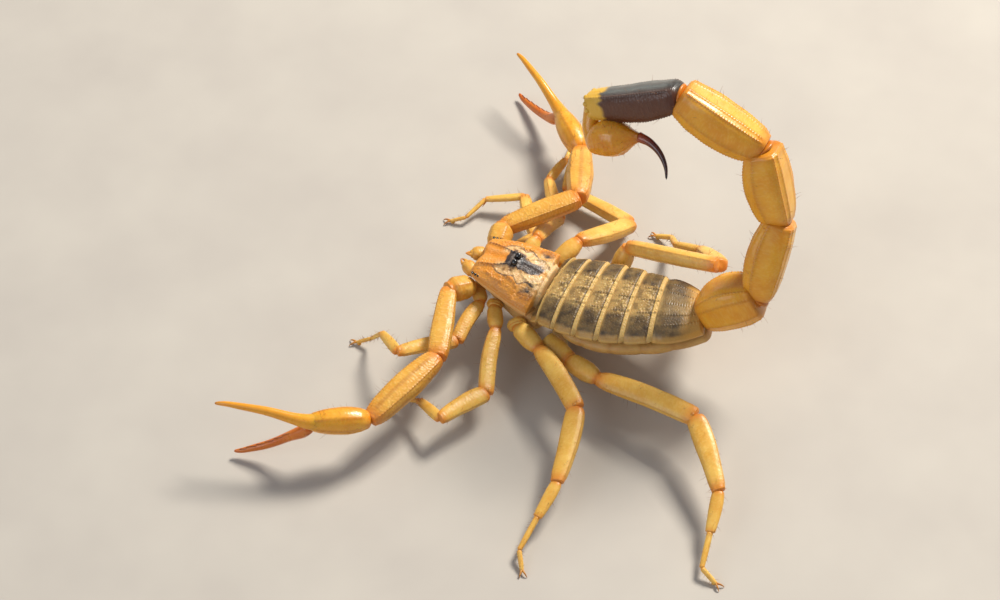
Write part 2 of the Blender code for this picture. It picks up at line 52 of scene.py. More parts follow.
# ---- small mathematics --------------------------------------------------------------------
def unit(v):
    """v over its length, along the last axis."""
    v = np.asarray(v, float)
    return v / np.maximum(np.linalg.norm(v, axis=-1, keepdims=True), 1e-12)


def turn_onto(v, old, new):
    """v carried through the smallest turn that takes direction old to direction new."""
    axis = np.cross(old, new)
    s, c = np.linalg.norm(axis), float(old @ new)
    if s < 1e-9:
        return v
    axis = axis / s
    return v * c + np.cross(axis, v) * s + axis * (axis @ v) * (1 - c)


def flow(x, xs, ys):
    """A smooth curve through places xs and heights ys: cubic pieces with monotone slopes."""
    xs, ys = np.asarray(xs, float), np.asarray(ys, float)
    h = np.diff(xs)
    s = np.diff(ys) / h
    m = np.zeros_like(ys)
    same = s[:-1] * s[1:] > 0
    m[1:-1] = np.where(same, 2 * s[:-1] * s[1:] / np.where(same, s[:-1] + s[1:], 1), 0)
    i = np.clip(np.searchsorted(xs, x) - 1, 0, len(xs) - 2)
    t = np.clip((x - xs[i]) / h[i], 0, 1)
    return ((1 + 2 * t) * (1 - t) ** 2 * ys[i] + t * (1 - t) ** 2 * h[i] * m[i]
            + t * t * (3 - 2 * t) * ys[i + 1] + t * t * (t - 1) * h[i] * m[i + 1])


def step(a, b, x):
    """0 below a, 1 above b, and an S-curve between."""
    t = np.clip((x - a) / (b - a), 0, 1)
    return t * t * (3 - 2 * t)


def bell(x, middle, width):
    """exp(-((x - middle) / width) squared)."""
    return np.exp(-((x - middle) / width) ** 2)


def chance(*keys):
    """A number from 0 to 1 for each set of whole-number keys, always the same one."""
    h = np.zeros(np.broadcast(*[np.asarray(k) for k in keys]).shape, np.uint64)
    for k, prime in zip(keys, (73856093, 19349663, 83492791, 49979687)):
        h = h ^ (np.asarray(k).astype(np.int64).astype(np.uint64) * np.uint64(prime))
    h = (h ^ (h >> np.uint64(13))) * np.uint64(0x9E3779B97F4A7C15)
    h = (h ^ (h >> np.uint64(29))) * np.uint64(0xBF58476D1CE4E5B9)
    return ((h >> np.uint64(40)).astype(float)) / float(1 << 24)


def mottle(a, b, size, seed):
    """Soft noise from -1 to 1 over two coordinates: corner values blended by S-curves."""
    i, j = np.floor(a / size), np.floor(b / size)
    u, v = a / size - i, b / size - j
    u, v = u * u * (3 - 2 * u), v * v * (3 - 2 * v)
    c = [chance(i + p, j + q, seed) for p in (0, 1) for q in (0, 1)]
    return 2 * ((c[0] * (1 - v) + c[1] * v) * (1 - u) + (c[2] * (1 - v) + c[3] * v) * u) - 1


def granules(a, b, size, seed, share=0.75):
    """Height 0 to 1 of round grains, one to each square of a grid, shifted and sized by chance."""
    i, j = np.floor(a / size), np.floor(b / size)
    top = np.zeros(np.broadcast(a, b).shape)
    for p in (-1, 0, 1):
        for q in (-1, 0, 1):
            x = (i + p + 0.5 + 0.7 * (chance(i + p, j + q, seed) - 0.5)) * size
            y = (j + q + 0.5 + 0.7 * (chance(i + p, j + q, seed + 7) - 0.5)) * size
            r = size * (0.30 + 0.28 * chance(i + p, j + q, seed + 13))
            there = chance(i + p, j + q, seed + 21) < share
            d = ((a - x) ** 2 + (b - y) ** 2) / r ** 2
            top = np.maximum(top, np.where(there, np.clip(1 - d, 0, 1) ** 0.6 * r / size / 0.58, 0))
    return top


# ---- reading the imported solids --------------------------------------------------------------
def read_solid(name):
    """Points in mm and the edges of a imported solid, with doubles joined."""
    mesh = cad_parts[name].data
    co = np.zeros(len(mesh.vertices) * 3)
    mesh.vertices.foreach_get("co", co)
    co = co.reshape(-1, 3) / MM
    edges = np.zeros(len(mesh.edges) * 2, int)
    mesh.edges.foreach_get("vertices", edges)
    _, first, back = np.unique(np.round(co, 3), axis=0, return_index=True, return_inverse=True)
    back = back.ravel()
    return co[first], back[edges.reshape(-1, 2)]


SOLIDS = {name: read_solid(name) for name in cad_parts}


def facing(name, other, reach=0.55):
    """Which points of one solid lie nearest to another solid."""
    a, b = SOLIDS[name][0], SOLIDS[other][0]
    away = np.linalg.norm(a[:, None] - b[None], axis=2).min(1)
    return away < max(reach, away.min() + 0.3)


def walk(edges, first):
    """Sets of points at one, two, three ... edges from the marked first ones."""
    level = np.where(first, 0, -1)
    now = 0
    while (level < 0).any():
        a, b = edges[:, 0], edges[:, 1]
        hit = np.concatenate([b[(level[a] == now) & (level[b] < 0)],
                              a[(level[b] == now) & (level[a] < 0)]])
        if not len(hit):
            raise ValueError("a solid's edges don't reach all of it")
        now += 1
        level[hit] = now
    return level


def rings(name, other):
    """The solid's rings of points, first the one that faces the other solid.  It walks the edges to
    the far end and comes back from there, because a folded joint hides part of its first ring."""
    points, edges = SOLIDS[name]
    out = walk(edges, facing(name, other))
    back = walk(edges, out == out.max())
    found = [points[back == k] for k in range(back.max(), -1, -1)]
    return [r for r in found if len(r) > 3]


def rings_from_plane(name, centre, normal):
    """The solid's rings, first the one that lies on a plane."""
    points, edges = SOLIDS[name]
    level = walk(edges, np.abs((points - centre) @ normal) < 0.06)
    return [r for r in (points[level == k] for k in range(level.max() + 1)) if len(r) > 3]


def middles(found):
    """The middle of each ring."""
    return np.array([r.mean(0) for r in found])


def spread(found, direction):
    """Half the greatest reach of the rings along a direction."""
    return max(np.ptp(r @ direction) / 2 for r in found)


def thread(points, count):
    """count points on a smooth curve through a few given ones."""
    points = np.asarray(points, float)
    run = np.concatenate([[0], np.cumsum(np.linalg.norm(np.diff(points, axis=0), axis=1))])
    t = np.linspace(0, run[-1], count)
    return np.stack([flow(t, run, points[:, k]) for k in range(3)], 1), t / run[-1]


# ---- gathering surfaces into pieces -----------------------------------------------------------
def tube_faces(m, n):
    """Quads between m rings of n points and a fan over each end, whose middles are the last two."""
    i, j = np.arange(m - 1)[:, None] * n, np.arange(n)
    k = (j + 1) % n
    quads = np.stack([i + j, i + k, i + n + k, i + n + j], -1).reshape(-1, 4)
    rear = (m - 1) * n
    return quads, np.concatenate([np.stack([np.full(n, m * n), k, j], 1),
                                  np.stack([np.full(n, m * n + 1), rear + j, rear + k], 1)])


class Shell:
    """Closed patches of surface and their tones, gathered into one mesh."""

    def __init__(self):
        """Empty lists of patches, and a count of the points so far."""
        self.points, self.quads, self.tris, self.count = [], [], [], 0
        self.tones = {t: [] for t in TONES}

    def add(self, points, quads, tris, tones):
        """Takes in a patch: its face numbers are lifted by the count of points already there."""
        self.points.append(points)
        self.quads.append(np.asarray(quads, int).reshape(-1, 4) + self.count)
        self.tris.append(np.asarray(tris, int).reshape(-1, 3) + self.count)
        for t in TONES:
            tone = np.asarray(tones.get(t, 0.0), float)
            self.tones[t].append(np.broadcast_to(tone, (len(points),)))
        self.count += len(points)

    def closed(self, grid, **tones):
        """Rings (m, n, 3) joined into a tube, with a fan over each end, facing outwards."""
        m, n = grid.shape[:2]
        points = np.concatenate([grid.reshape(-1, 3), grid[0].mean(0)[None], grid[-1].mean(0)[None]])
        quads, tris = tube_faces(m, n)
        flat = {}
        for t, v in tones.items():
            v = np.broadcast_to(np.asarray(v, float), (m, n))
            flat[t] = np.concatenate([v.ravel(), [v[0].mean(), v[-1].mean()]])
        centre = points.mean(0)
        a, b, c, d = (points[quads[:, q]] - centre for q in range(4))
        volume = (a * np.cross(b, c)).sum() + (a * np.cross(c, d)).sum()
        if volume < 0:
            quads, tris = quads[:, ::-1], tris[:, ::-1]
        self.add(points, quads, tris, flat)

    def strew(self, roots, outs, sides, profile, n, **tones):
        """Many small tapering pegs at once.  Profile rows are (out, radius sideways, other radius);
        each peg's rings of n points are set on its root along its out and side directions."""
        roots, outs, sides = (np.atleast_2d(np.asarray(v, float)) for v in (roots, outs, sides))
        sides = unit(sides - outs * (sides * outs).sum(1, keepdims=True))
        third = np.cross(outs, sides)
        out, wide, deep = np.asarray(profile, float).T[:, :, None]
        angle = np.arange(n) * tau / n
        shape = np.stack([out + 0 * angle, wide * np.cos(angle), deep * np.sin(angle)], -1)
        tips = [[profile[0][0], 0, 0], [profile[-1][0], 0, 0]]
        shape = np.concatenate([shape.reshape(-1, 3), tips])
        points = (roots[:, None] + shape[None, :, :1] * outs[:, None]
                  + shape[None, :, 1:2] * sides[:, None] + shape[None, :, 2:] * third[:, None])
        quads, tris = tube_faces(len(profile), n)
        lift = (np.arange(len(roots)) * len(shape))[:, None, None]
        self.add(points.reshape(-1, 3), quads + lift, tris + lift, tones)

    def piece(self, name, material, slot, *nodes):
        """One mesh object, riding on the model in place of the named solids."""
        points = np.concatenate(self.points) * MM
        quads, tris = np.concatenate(self.quads), np.concatenate(self.tris)
        corners = np.concatenate([quads.ravel(), tris.ravel()])
        starts = np.concatenate([np.arange(len(quads)) * 4, quads.size + np.arange(len(tris)) * 3])
        mesh = bpy.data.meshes.new(name)
        mesh.vertices.add(len(points))
        mesh.vertices.foreach_set("co", points.astype(np.float32).ravel())
        mesh.loops.add(len(corners))
        mesh.loops.foreach_set("vertex_index", corners.astype(np.int32))
        mesh.polygons.add(len(starts))
        mesh.polygons.foreach_set("loop_start", starts.astype(np.int32))
        mesh.polygons.foreach_set("use_smooth", np.ones(len(starts), bool))
        for t in TONES:
            layer = mesh.attributes.new(t, "FLOAT", "POINT")
            layer.data.foreach_set("value", np.concatenate(self.tones[t]).astype(np.float32))
        mesh.update(calc_edges=True)
        mesh.validate()
        ob = bpy.data.objects.new(name, mesh)
        bpy.context.scene.collection.objects.link(ob)
        ob.data.materials.append(material)
        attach(ob, "root")
        if nodes:
            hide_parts(*nodes)
        return ob


def around(n, power):
    """Angles of a ring and its (across, up) pairs on a superellipse of unit size."""
    a = (np.arange(n) + 0.5) * tau / n
    c, s = np.cos(a), np.sin(a)
    e = 2.0 / power
    return a, np.sign(c) * np.abs(c) ** e, np.sign(s) * np.abs(s) ** e


def turn_from(a, degrees):
    """Angle a as measured from a direction given in degrees, from -pi to pi."""
    return (a - radians(degrees) + pi) % tau - pi


def stations(length, before, after, count):
    """Places along a length, close together near both ends."""
    t = 0.5 - 0.5 * np.cos(np.linspace(0, pi, count))
    t = 0.55 * t + 0.45 * np.linspace(0, 1, count)
    return -before + t * (length + before + after)


def dome_ends(x, lo, hi, round_lo, round_hi):
    """0 at both ends rising as a quarter circle to 1 over the two rounding lengths."""
    a = np.clip((x - lo) / round_lo, 0, 1)
    b = np.clip((hi - x) / round_hi, 0, 1)
    return np.sqrt(np.clip(1 - (1 - a) ** 2, 0, 1)) * np.sqrt(np.clip(1 - (1 - b) ** 2, 0, 1))


def pair(degrees, *rest):
    """A keel of limb() and the same keel on the other side, at 180 degrees less the first angle."""
    return (degrees, *rest), (180 - degrees, *rest)


def limb(shell, start, stop, side, rows, size=(1.0, 1.0), keels=(), power=2.3, count=(90, 64),
         ends=(0.25, 0.25), rounding=(0.22, 0.22), grain=(0.0, 0.2), bow=0.0, wave=0.0,
         tint=(0.9, 0.9), dusk=0.0, pale=0.0, stain=None, seed=1, hair=None):
    """One joint of a limb.  Its section is a superellipse whose half width and half height flow
    through rows of (share of length, half width, half height), times size; the axis bows upward by
    bow times sin(pi t).  Keels are (degrees round, height, width, first share, last share, tooth
    pitch, tooth depth): ridges whose height falls off as a bell round the ring.  Grains stand out
    by grain[0] and are grain[1] apart.  Dusk and pale are numbers or functions of (share, angle)."""
    start, stop = np.asarray(start, float), np.asarray(stop, float)
    length = np.linalg.norm(stop - start)
    d = (stop - start) / length
    side = unit(side - d * (side @ d))
    up = np.cross(side, d)
    x = stations(length, *ends, count[0])
    t = x / length
    share, wide, high = np.asarray(rows, float).T
    w, h = flow(t, share, wide * size[0]), flow(t, share, high * size[1])
    shut = dome_ends(x, x[0], x[-1], *rounding)
    a, ca, sa = around(count[1], power)
    across, rise = (w * shut)[:, None] * ca, (h * shut)[:, None] * sa
    reach = np.maximum(np.hypot(across, rise), 1e-6)
    lift, ridge = np.zeros(count), np.zeros(count)
    mean = 0.5 * (w + h)[:, None]
    for degrees, height, width, t0, t1, pitch, depth in keels:
        line = np.exp(-(turn_from(a, degrees) * mean / width) ** 2)
        span = (step(t0 - 0.03, t0 + 0.06, t) * (1 - step(t1 - 0.04, t1 + 0.03, t)))[:, None]
        teeth = 1 - depth * (0.5 + 0.5 * np.cos(tau * x[:, None] / pitch)) if pitch else 1.0
        lift = lift + height * line * span * teeth
        ridge = np.maximum(ridge, line * span)
    grains = granules(x[:, None] + 3.7 * seed, a * mean, grain[1], seed) if grain[0] else 0.0
    lift = lift + grain[0] * grains * (1 - 0.5 * ridge)
    if wave:
        lift = lift + wave * mottle(x[:, None] + seed, a * mean, 1.7, seed + 3)
    swell = 1 + lift * shut[:, None] / reach
    axis = start + x[:, None] * d + (bow * np.sin(pi * np.clip(t, 0, 1)))[:, None] * up
    grid = axis[:, None] + (across * swell)[..., None] * side + (rise * swell)[..., None] * up
    t = t[:, None]
    joint = np.maximum(tint[0] * bell(t, 0.0, 0.09), tint[1] * bell(t, 1.0, 0.09))
    if stain is not None:
        joint = np.maximum(joint, stain(t, a))
        ridge = ridge * (1 - joint)
    dusk, pale = (tone(t, a) if callable(tone) else tone for tone in (dusk, pale))
    shell.closed(grid, grain=grains, keel=ridge, joint=joint, dusk=dusk, pale=pale)
    if hair:
        grow(grid, d, seed, *hair)


def grow(grid, along, seed, number, low, high, lean=0.5):
    """Marks hairs on a surface: number roots picked by chance, leaning along the limb, each with
    its place on the unrolled surface as two shares from 0 to 1."""
    m, n = grid.shape[:2]
    k = np.arange(number)
    i = 3 + (chance(k, 1, seed) * (m - 8)).astype(int)
    j = (chance(k, 2, seed) * n).astype(int)
    out = unit(grid[i, j] - grid[i].mean(1))
    stray = np.stack([chance(k, q, seed + 5) for q in (3, 4, 5)], 1) - 0.5
    way = unit(out * (1 - 0.3 * lean) + along * lean + 0.35 * stray)
    length = low + (high - low) * chance(k, 6, seed) ** 2
    HAIRS.append((grid[i, j] - out * HAIR_RADIUS, way, length, np.stack([j / n, i / m], 1)))


def stalk(shell, path, side, w, h, n=24, **tones):
    """A tube with elliptic rings along a path of points, its side direction carried from ring to
    ring by the smallest turn.  Returns the side and up directions of the rings."""
    path = np.asarray(path, float)
    tangent = unit(np.gradient(path, axis=0))
    sides = [unit(side - tangent[0] * (side @ tangent[0]))]
    for a, b in zip(tangent[:-1], tangent[1:]):
        sides.append(unit(turn_onto(sides[-1], a, b)))
    sides = np.array(sides)
    ups = np.cross(sides, tangent)
    _, ca, sa = around(n, 2.0)
    across, rise = w[:, None] * ca, h[:, None] * sa
    grid = path[:, None] + across[..., None] * sides[:, None] + rise[..., None] * ups[:, None]
    shell.closed(grid, **{t: v[:, None] if np.ndim(v) else v for t, v in tones.items()})
    return sides, ups


def bend(p, q, r, count):
    """count points on the smooth curve that leaves p, is drawn towards q and ends at r."""
    t = np.linspace(0, 1, count)[:, None]
    return (1 - t) ** 2 * p + 2 * t * (1 - t) * q + t * t * r


def bead(shell, centre, axis, radius, thick, n=14, m=9, guide=None, **tones):
    """A round button: m rings of n points on half an ellipse about an axis."""
    a = np.linspace(-pi / 2 * 0.98, pi / 2 * 0.98, m)
    if guide is None:
        guide = UP if abs(axis[2]) < 0.9 else np.array([1.0, 0, 0])
    side = unit(np.cross(axis, guide))
    path = centre + np.sin(a)[:, None] * thick * axis
    angle = np.arange(n) * tau / n
    ring = np.cos(angle)[:, None] * side + np.sin(angle)[:, None] * np.cross(axis, side)
    shell.closed(path[:, None] + (radius * np.cos(a))[:, None, None] * ring, **tones)


# ---- finishes ---------------------------------------------------------------------------------
class Finish:
    """A material being wired: each method adds one node and returns its output."""

    def __init__(self, name):
        """A new material with its shader, and the object's own coordinates to draw patterns in."""
        self.material = bpy.data.materials.new(name)
        self.material.use_nodes = True
        self.tree = self.material.node_tree
        self.shader = self.tree.nodes["Principled BSDF"]
        self.place = self.tree.nodes.new("ShaderNodeTexCoord").outputs["Object"]

    def wire(self, socket, value):
        """Joins an output to a socket, or sets the socket to a plain value."""
        if hasattr(value, "is_linked"):
            self.tree.links.new(value, socket)
        elif isinstance(value, tuple) and len(value) == 3 and len(socket.default_value) == 4:
            socket.default_value = (*value, 1.0)
        else:
            socket.default_value = value

    def node(self, kind, **inputs):
        """A node with its inputs set by name."""
        node = self.tree.nodes.new("ShaderNode" + kind)
        for key, value in inputs.items():
            self.wire(node.inputs[key.replace("_", " ")], value)
        return node

    def noise(self, scale, detail=3.0, rough=0.55):
        """Soft noise in the object's own space."""
        return self.node("TexNoise", Vector=self.place, Scale=scale, Detail=detail,
                         Roughness=rough).outputs["Fac"]

    def cells(self, scale):
        """Distance from scattered points in the object's own space."""
        return self.node("TexVoronoi", Vector=self.place, Scale=scale).outputs["Distance"]

    def tone(self, name):
        """A tone laid along the surface."""
        node = self.node("Attribute")
        node.attribute_name = name
        return node.outputs["Fac"]

    def span(self, value, a, b, lo=0.0, hi=1.0):
        """value carried straight from the span a to b onto the span lo to hi, and held there."""
        return self.node("MapRange", Value=value, From_Min=a, From_Max=b, To_Min=lo,
                         To_Max=hi).outputs["Result"]

    def times(self, a, b):
        """a times b, held between 0 and 1."""
        node = self.node("Math")
        node.operation = "MULTIPLY"
        node.use_clamp = True
        self.wire(node.inputs[0], a)
        self.wire(node.inputs[1], b)
        return node.outputs[0]

    def mix(self, share, a, b):
        """Colour a where share is 0, colour b where it is 1."""
        node = self.node("Mix")
        node.data_type = "RGBA"
        for place, value in ((0, share), (6, a), (7, b)):
            self.wire(node.inputs[place], value)
        return node.outputs[2]

    def bumps(self, *layers):
        """Bump layers of (height, strength, depth), each laid on the one before."""
        out = None
        for height, strength, depth in layers:
            node = self.node("Bump", Strength=strength, Distance=depth, Height=height)
            if out is not None:
                self.wire(node.inputs["Normal"], out)
            out = node.outputs["Normal"]
        self.wire(self.shader.inputs["Normal"], out)

    def set(self, **values):
        """Inputs of the shader, by name."""
        for key, value in values.items():
            self.wire(self.shader.inputs[key.replace("_", " ")], value)


def cuticle(name, light, deep, joint, dark, pale, rough=(0.34, 0.50), glow=0.12, coat=0.0,
            keel_share=0.55, grain_highlight=0.25, fine=0.5, even=0.55):
    """Scorpion shell: light and deep colours mottle at two scales; keel lines and the dusk tone darken to
    dark, joints redden, the pale tone lightens towards pale, and the grain tone lightens the granule tops
    towards pale as a painted highlight.  Its bump is a pore pattern 0.06 mm across over soft undulation
    0.4 mm across.  The dusk and pale tones are broken by noise that lets at least the share even through."""
    f = Finish(name)
    broad = f.span(f.noise(420), 0.36, 0.66)
    speck = f.span(f.noise(3600, 3.0, 0.65), 0.40, 0.72)
    colour = f.mix(broad, light, deep)
    colour = f.mix(f.times(speck, 0.35), colour, deep)
    # painted highlight: the granule tops, given by the grain tone, lightened towards pale
    colour = f.mix(f.times(f.tone("grain"), grain_highlight), colour, pale)
    patch = f.span(f.noise(900, 2.0), 0.30, 0.70, even, 1.0)
    colour = f.mix(f.times(f.tone("pale"), patch), colour, pale)
    colour = f.mix(f.times(f.tone("dusk"), patch), colour, dark)
    edge = f.times(f.tone("keel"), keel_share)
    colour = f.mix(f.times(edge, f.span(speck, 0.0, 1.0, 0.6, 1.0)), colour, dark)
    colour = f.mix(f.times(f.tone("joint"), 0.9), colour, joint)
    worn = f.span(f.noise(1500, 4.0), 0.35, 0.70, *rough)
    f.set(Base_Color=colour, Roughness=worn, Metallic=0.0, Subsurface_Weight=glow,
          Subsurface_Radius=(1.0, 0.42, 0.16), Subsurface_Scale=0.0004, Coat_Weight=coat,
          Coat_Roughness=0.18)
    f.bumps((f.noise(2400), 0.35 * fine, 0.00006), (f.cells(16000), 0.30 * fine, 0.00002))
    return f.material


FINISHES = {
    "leg": cuticle("pale leg shell", (0.82, 0.50, 0.10), (0.72, 0.37, 0.05), (0.66, 0.20, 0.018),
                   (0.34, 0.12, 0.02), (0.92, 0.68, 0.24), glow=0.15),
    "arm": cuticle("pale arm shell", (0.78, 0.43, 0.07), (0.68, 0.31, 0.035), (0.66, 0.19, 0.016),
                   (0.32, 0.10, 0.018), (0.92, 0.66, 0.24), glow=0.15),
    "hand": cuticle("amber hand shell", (0.86, 0.42, 0.030), (0.78, 0.32, 0.016), (0.72, 0.24, 0.014),
                    (0.30, 0.06, 0.008), (0.90, 0.52, 0.10), rough=(0.26, 0.38), coat=0.2, glow=0.22),
    "finger": cuticle("red finger shell", (0.74, 0.24, 0.018), (0.62, 0.15, 0.010), (0.56, 0.11, 0.008),
                      (0.16, 0.025, 0.006), (0.82, 0.36, 0.05), rough=(0.26, 0.38), coat=0.2, glow=0.18),
    "tail": cuticle("amber tail shell", (0.86, 0.42, 0.030), (0.77, 0.31, 0.016), (0.52, 0.13, 0.010),
                    (0.36, 0.10, 0.010), (0.90, 0.60, 0.16), rough=(0.28, 0.42), coat=0.12, glow=0.20,
                    keel_share=0.45),
    "dark_tail": cuticle("dark tail shell", (0.062, 0.060, 0.052), (0.036, 0.032, 0.028),
                         (0.80, 0.46, 0.05), (0.115, 0.030, 0.010), (0.17, 0.19, 0.18),
                         rough=(0.28, 0.44), glow=0.03, coat=0.1, keel_share=0.25, even=0.90),
    "bulb": cuticle("amber bulb shell", (0.78, 0.33, 0.014), (0.68, 0.23, 0.008), (0.64, 0.30, 0.02),
                    (0.26, 0.06, 0.008), (0.86, 0.46, 0.05), rough=(0.22, 0.34), coat=0.3, glow=0.25),
    "sting": cuticle("dark sting", (0.16, 0.020, 0.008), (0.06, 0.010, 0.006), (0.42, 0.07, 0.012),
                     (0.010, 0.006, 0.005), (0.30, 0.06, 0.02), rough=(0.14, 0.24), coat=0.5, glow=0.02),
    "shield": cuticle("orange head shield", (0.74, 0.35, 0.05), (0.62, 0.24, 0.025),
                      (0.74, 0.24, 0.015), (0.022, 0.023, 0.029), (0.76, 0.52, 0.25),
                      rough=(0.34, 0.52), keel_share=0.30, even=0.90),
    "back": cuticle("brown back plates", (0.44, 0.28, 0.095), (0.32, 0.19, 0.060),
                    (0.66, 0.33, 0.055), (0.040, 0.025, 0.014), (0.78, 0.55, 0.20),
                    rough=(0.36, 0.56), keel_share=0.35, grain_highlight=0.35),
    # partly the membrane's own orange-tan and partly painted shade: the belly's colours are darkened for
    # its shaded flank
    "belly": cuticle("soft belly with painted shade", (0.62, 0.35, 0.085), (0.48, 0.23, 0.045), (0.46, 0.20, 0.04),
                     (0.34, 0.18, 0.06), (0.80, 0.56, 0.24), rough=(0.42, 0.60), glow=0.2),
    "comb": cuticle("cream comb", (0.82, 0.60, 0.26), (0.72, 0.46, 0.16), (0.60, 0.34, 0.10),
                    (0.34, 0.20, 0.09), (0.92, 0.76, 0.46), rough=(0.40, 0.55), glow=0.2),
    "hair": cuticle("red-brown bristles", (0.34, 0.14, 0.04), (0.22, 0.08, 0.025), (0.34, 0.14, 0.04),
                    (0.10, 0.04, 0.02), (0.50, 0.26, 0.09), rough=(0.34, 0.46), glow=0.0),
    "eye": cuticle("black eyes", (0.006, 0.006, 0.008), (0.003, 0.003, 0.004), (0.02, 0.012, 0.01),
                   (0.003, 0.003, 0.003), (0.02, 0.02, 0.022), rough=(0.05, 0.09), glow=0.0,
                   coat=1.0, fine=0.03)}


# ---- legs -------------------------------------------------------------------------------------
CLAW = 0.95                                 # mm, a foot claw's length
THIGH_ROOT = ((0, 0.95, 0.9), (0.5, 1.1, 1.02), (1, 0.95, 0.9))
TROCHANTER = ((0, 0.78, 0.66), (0.2, 1.02, 0.92), (0.6, 1.12, 0.98), (0.9, 0.9, 0.76), (1, 0.76, 0.6))
THIGH = ((0, 0.80, 0.66), (0.04, 0.88, 0.76), (0.14, 0.95, 0.90), (0.45, 1, 1), (0.8, 0.98, 0.98),
         (0.95, 0.96, 0.94), (1, 0.88, 0.86))
SHIN = ((0, 0.86, 0.80), (0.04, 0.96, 0.92), (0.12, 1.02, 1.0), (0.32, 1.02, 1.04), (0.65, 0.93, 0.90),
        (0.9, 0.84, 0.76), (1, 0.78, 0.66))
FOOT = (dict(rows=((0, 0.84, 0.80), (0.08, 0.96, 0.92), (0.3, 1, 1), (0.85, 0.84, 0.82), (1, 0.74, 0.72)),
             count=(60, 40), power=2.2, bow=0.05, tint=(0.95, 0.6), grain=(0.014, 0.2),
             ends=(0.1, 0.08), hair=(22, 0.4, 1.0)),
        dict(rows=((0, 0.9, 0.95), (0.5, 0.9, 0.95), (1, 0.74, 0.8)),
             count=(50, 32), power=2.0, tint=(0.55, 0.55), grain=(0.01, 0.2),
             ends=(0.08, 0.06), hair=(30, 0.3, 0.7)),
        dict(rows=((0, 0.6, 0.62), (0.1, 0.76, 0.8), (0.6, 0.72, 0.8), (1, 0.6, 0.62)),
             count=(40, 30), power=2.0, tint=(0.5, 0.3), grain=(0.01, 0.2),
             ends=(0.06, 0.05), hair=(24, 0.25, 0.6)))


def half_sizes(found, side, along, factor):
    """Half the width and half the height of some rings round a direction, times a factor."""
    return factor * spread(found, side), factor * spread(found, np.cross(side, along))


def knee_spot(shell, centre, axis, reach, radius):
    """The two dark pivot buttons of a joint, one on each side."""
    for sign in (1, -1):
        bead(shell, centre + sign * axis * reach, sign * axis, radius, radius * 0.45, dusk=0.85, joint=0.5)


def claws(shell, tip, along, side):
    """Two curved claws at a foot's tip: each follows a bent path from the tip outwards and down."""
    for sign in (1, -1):
        out = unit(along + 0.55 * sign * side)
        out[2] = 0.10
        end = tip + out * CLAW
        end[2] = 0.06
        top = tip + unit(out) * CLAW * 0.55 + UP * CLAW * 0.22
        t = np.linspace(0, 1, 11)
        r = 0.15 * (1 - t) ** 0.7 + 0.03
        stalk(shell, bend(tip - along * 0.1, top, end, 11), side, r * 0.8, r, 10,
              dusk=0.6 + 0.4 * t, joint=0.4 * (1 - t))


def spurs(shell, root, along, side, radius):
    """The two spurs where the foot bends: short spikes that curve down and forward."""
    for sign in (1, -1):
        start = root - UP * radius * 0.55 + sign * side * radius * 0.5
        path = bend(start, start + along * 0.35 - UP * 0.3, start + along * 0.75 - UP * 0.42, 7)
        t = np.linspace(0, 1, 7)
        r = 0.10 * (1 - t) + 0.02
        stalk(shell, path, side, r, r, 8, joint=0.9, dusk=0.3 * t)


def build_thigh(tag, node, found, mids, knee, side, thigh, seed):
    """Root, trochanter and thigh: three joints between the middles of the solid's own rings."""
    coxa, hip, trochanter = mids[0], mids[1], mids[3]
    size = half_sizes(found[4:7], side, thigh, 1.05)
    shell = Shell()
    limb(shell, coxa, hip, turn_onto(side, thigh, unit(hip - coxa)), THIGH_ROOT, size,
         count=(40, 36), seed=seed, grain=(0.03, 0.28), tint=(0.0, 0.8))
    short = (0.05, 0.14, 0.1, 0.9, 0.26, 0.6)
    limb(shell, hip, trochanter, turn_onto(side, thigh, unit(trochanter - hip)), TROCHANTER, size,
         ((90, *short), (270, *short)), count=(44, 40), seed=seed + 1,
         ends=(0.22, 0.22), grain=(0.03, 0.26), tint=(1.0, 1.0))
    limb(shell, trochanter, knee, side, THIGH, size,
         (*pair(58, 0.10, 0.14, 0.04, 0.97, 0.30, 0.45),
          *pair(238, 0.09, 0.14, 0.06, 0.95, 0.34, 0.45)),
         2.5, (110, 64), bow=0.25, grain=(0.030, 0.22), tint=(0.9, 0.85), seed=seed + 2,
         ends=(0.15, 0.12), hair=(26, 0.5, 1.3), wave=0.03)
    knee_spot(shell, knee - thigh * 0.25, side, size[0] * 0.84, 0.26)
    shell.piece(tag + ".thigh", FINISHES["leg"], "straw", node)


def build_shin(tag, node, found, knee, ankle, side, shin, seed):
    """The shin: one keeled joint between knee and ankle."""
    size = half_sizes(found[1:4], side, shin, 1.05)
    shell = Shell()
    limb(shell, knee, ankle, side, SHIN, size,
         (*pair(62, 0.09, 0.13, 0.04, 0.96, 0.32, 0.45),
          *pair(242, 0.08, 0.13, 0.05, 0.93, 0.36, 0.45)),
         2.5, (100, 60), bow=0.18, grain=(0.026, 0.22), tint=(0.95, 0.9), seed=seed,
         ends=(0.12, 0.12), hair=(24, 0.5, 1.2), wave=0.03)
    knee_spot(shell, ankle - shin * 0.22, side, size[0] * 0.62, 0.2)
    shell.piece(tag + ".shin", FINISHES["leg"], "straw", node)


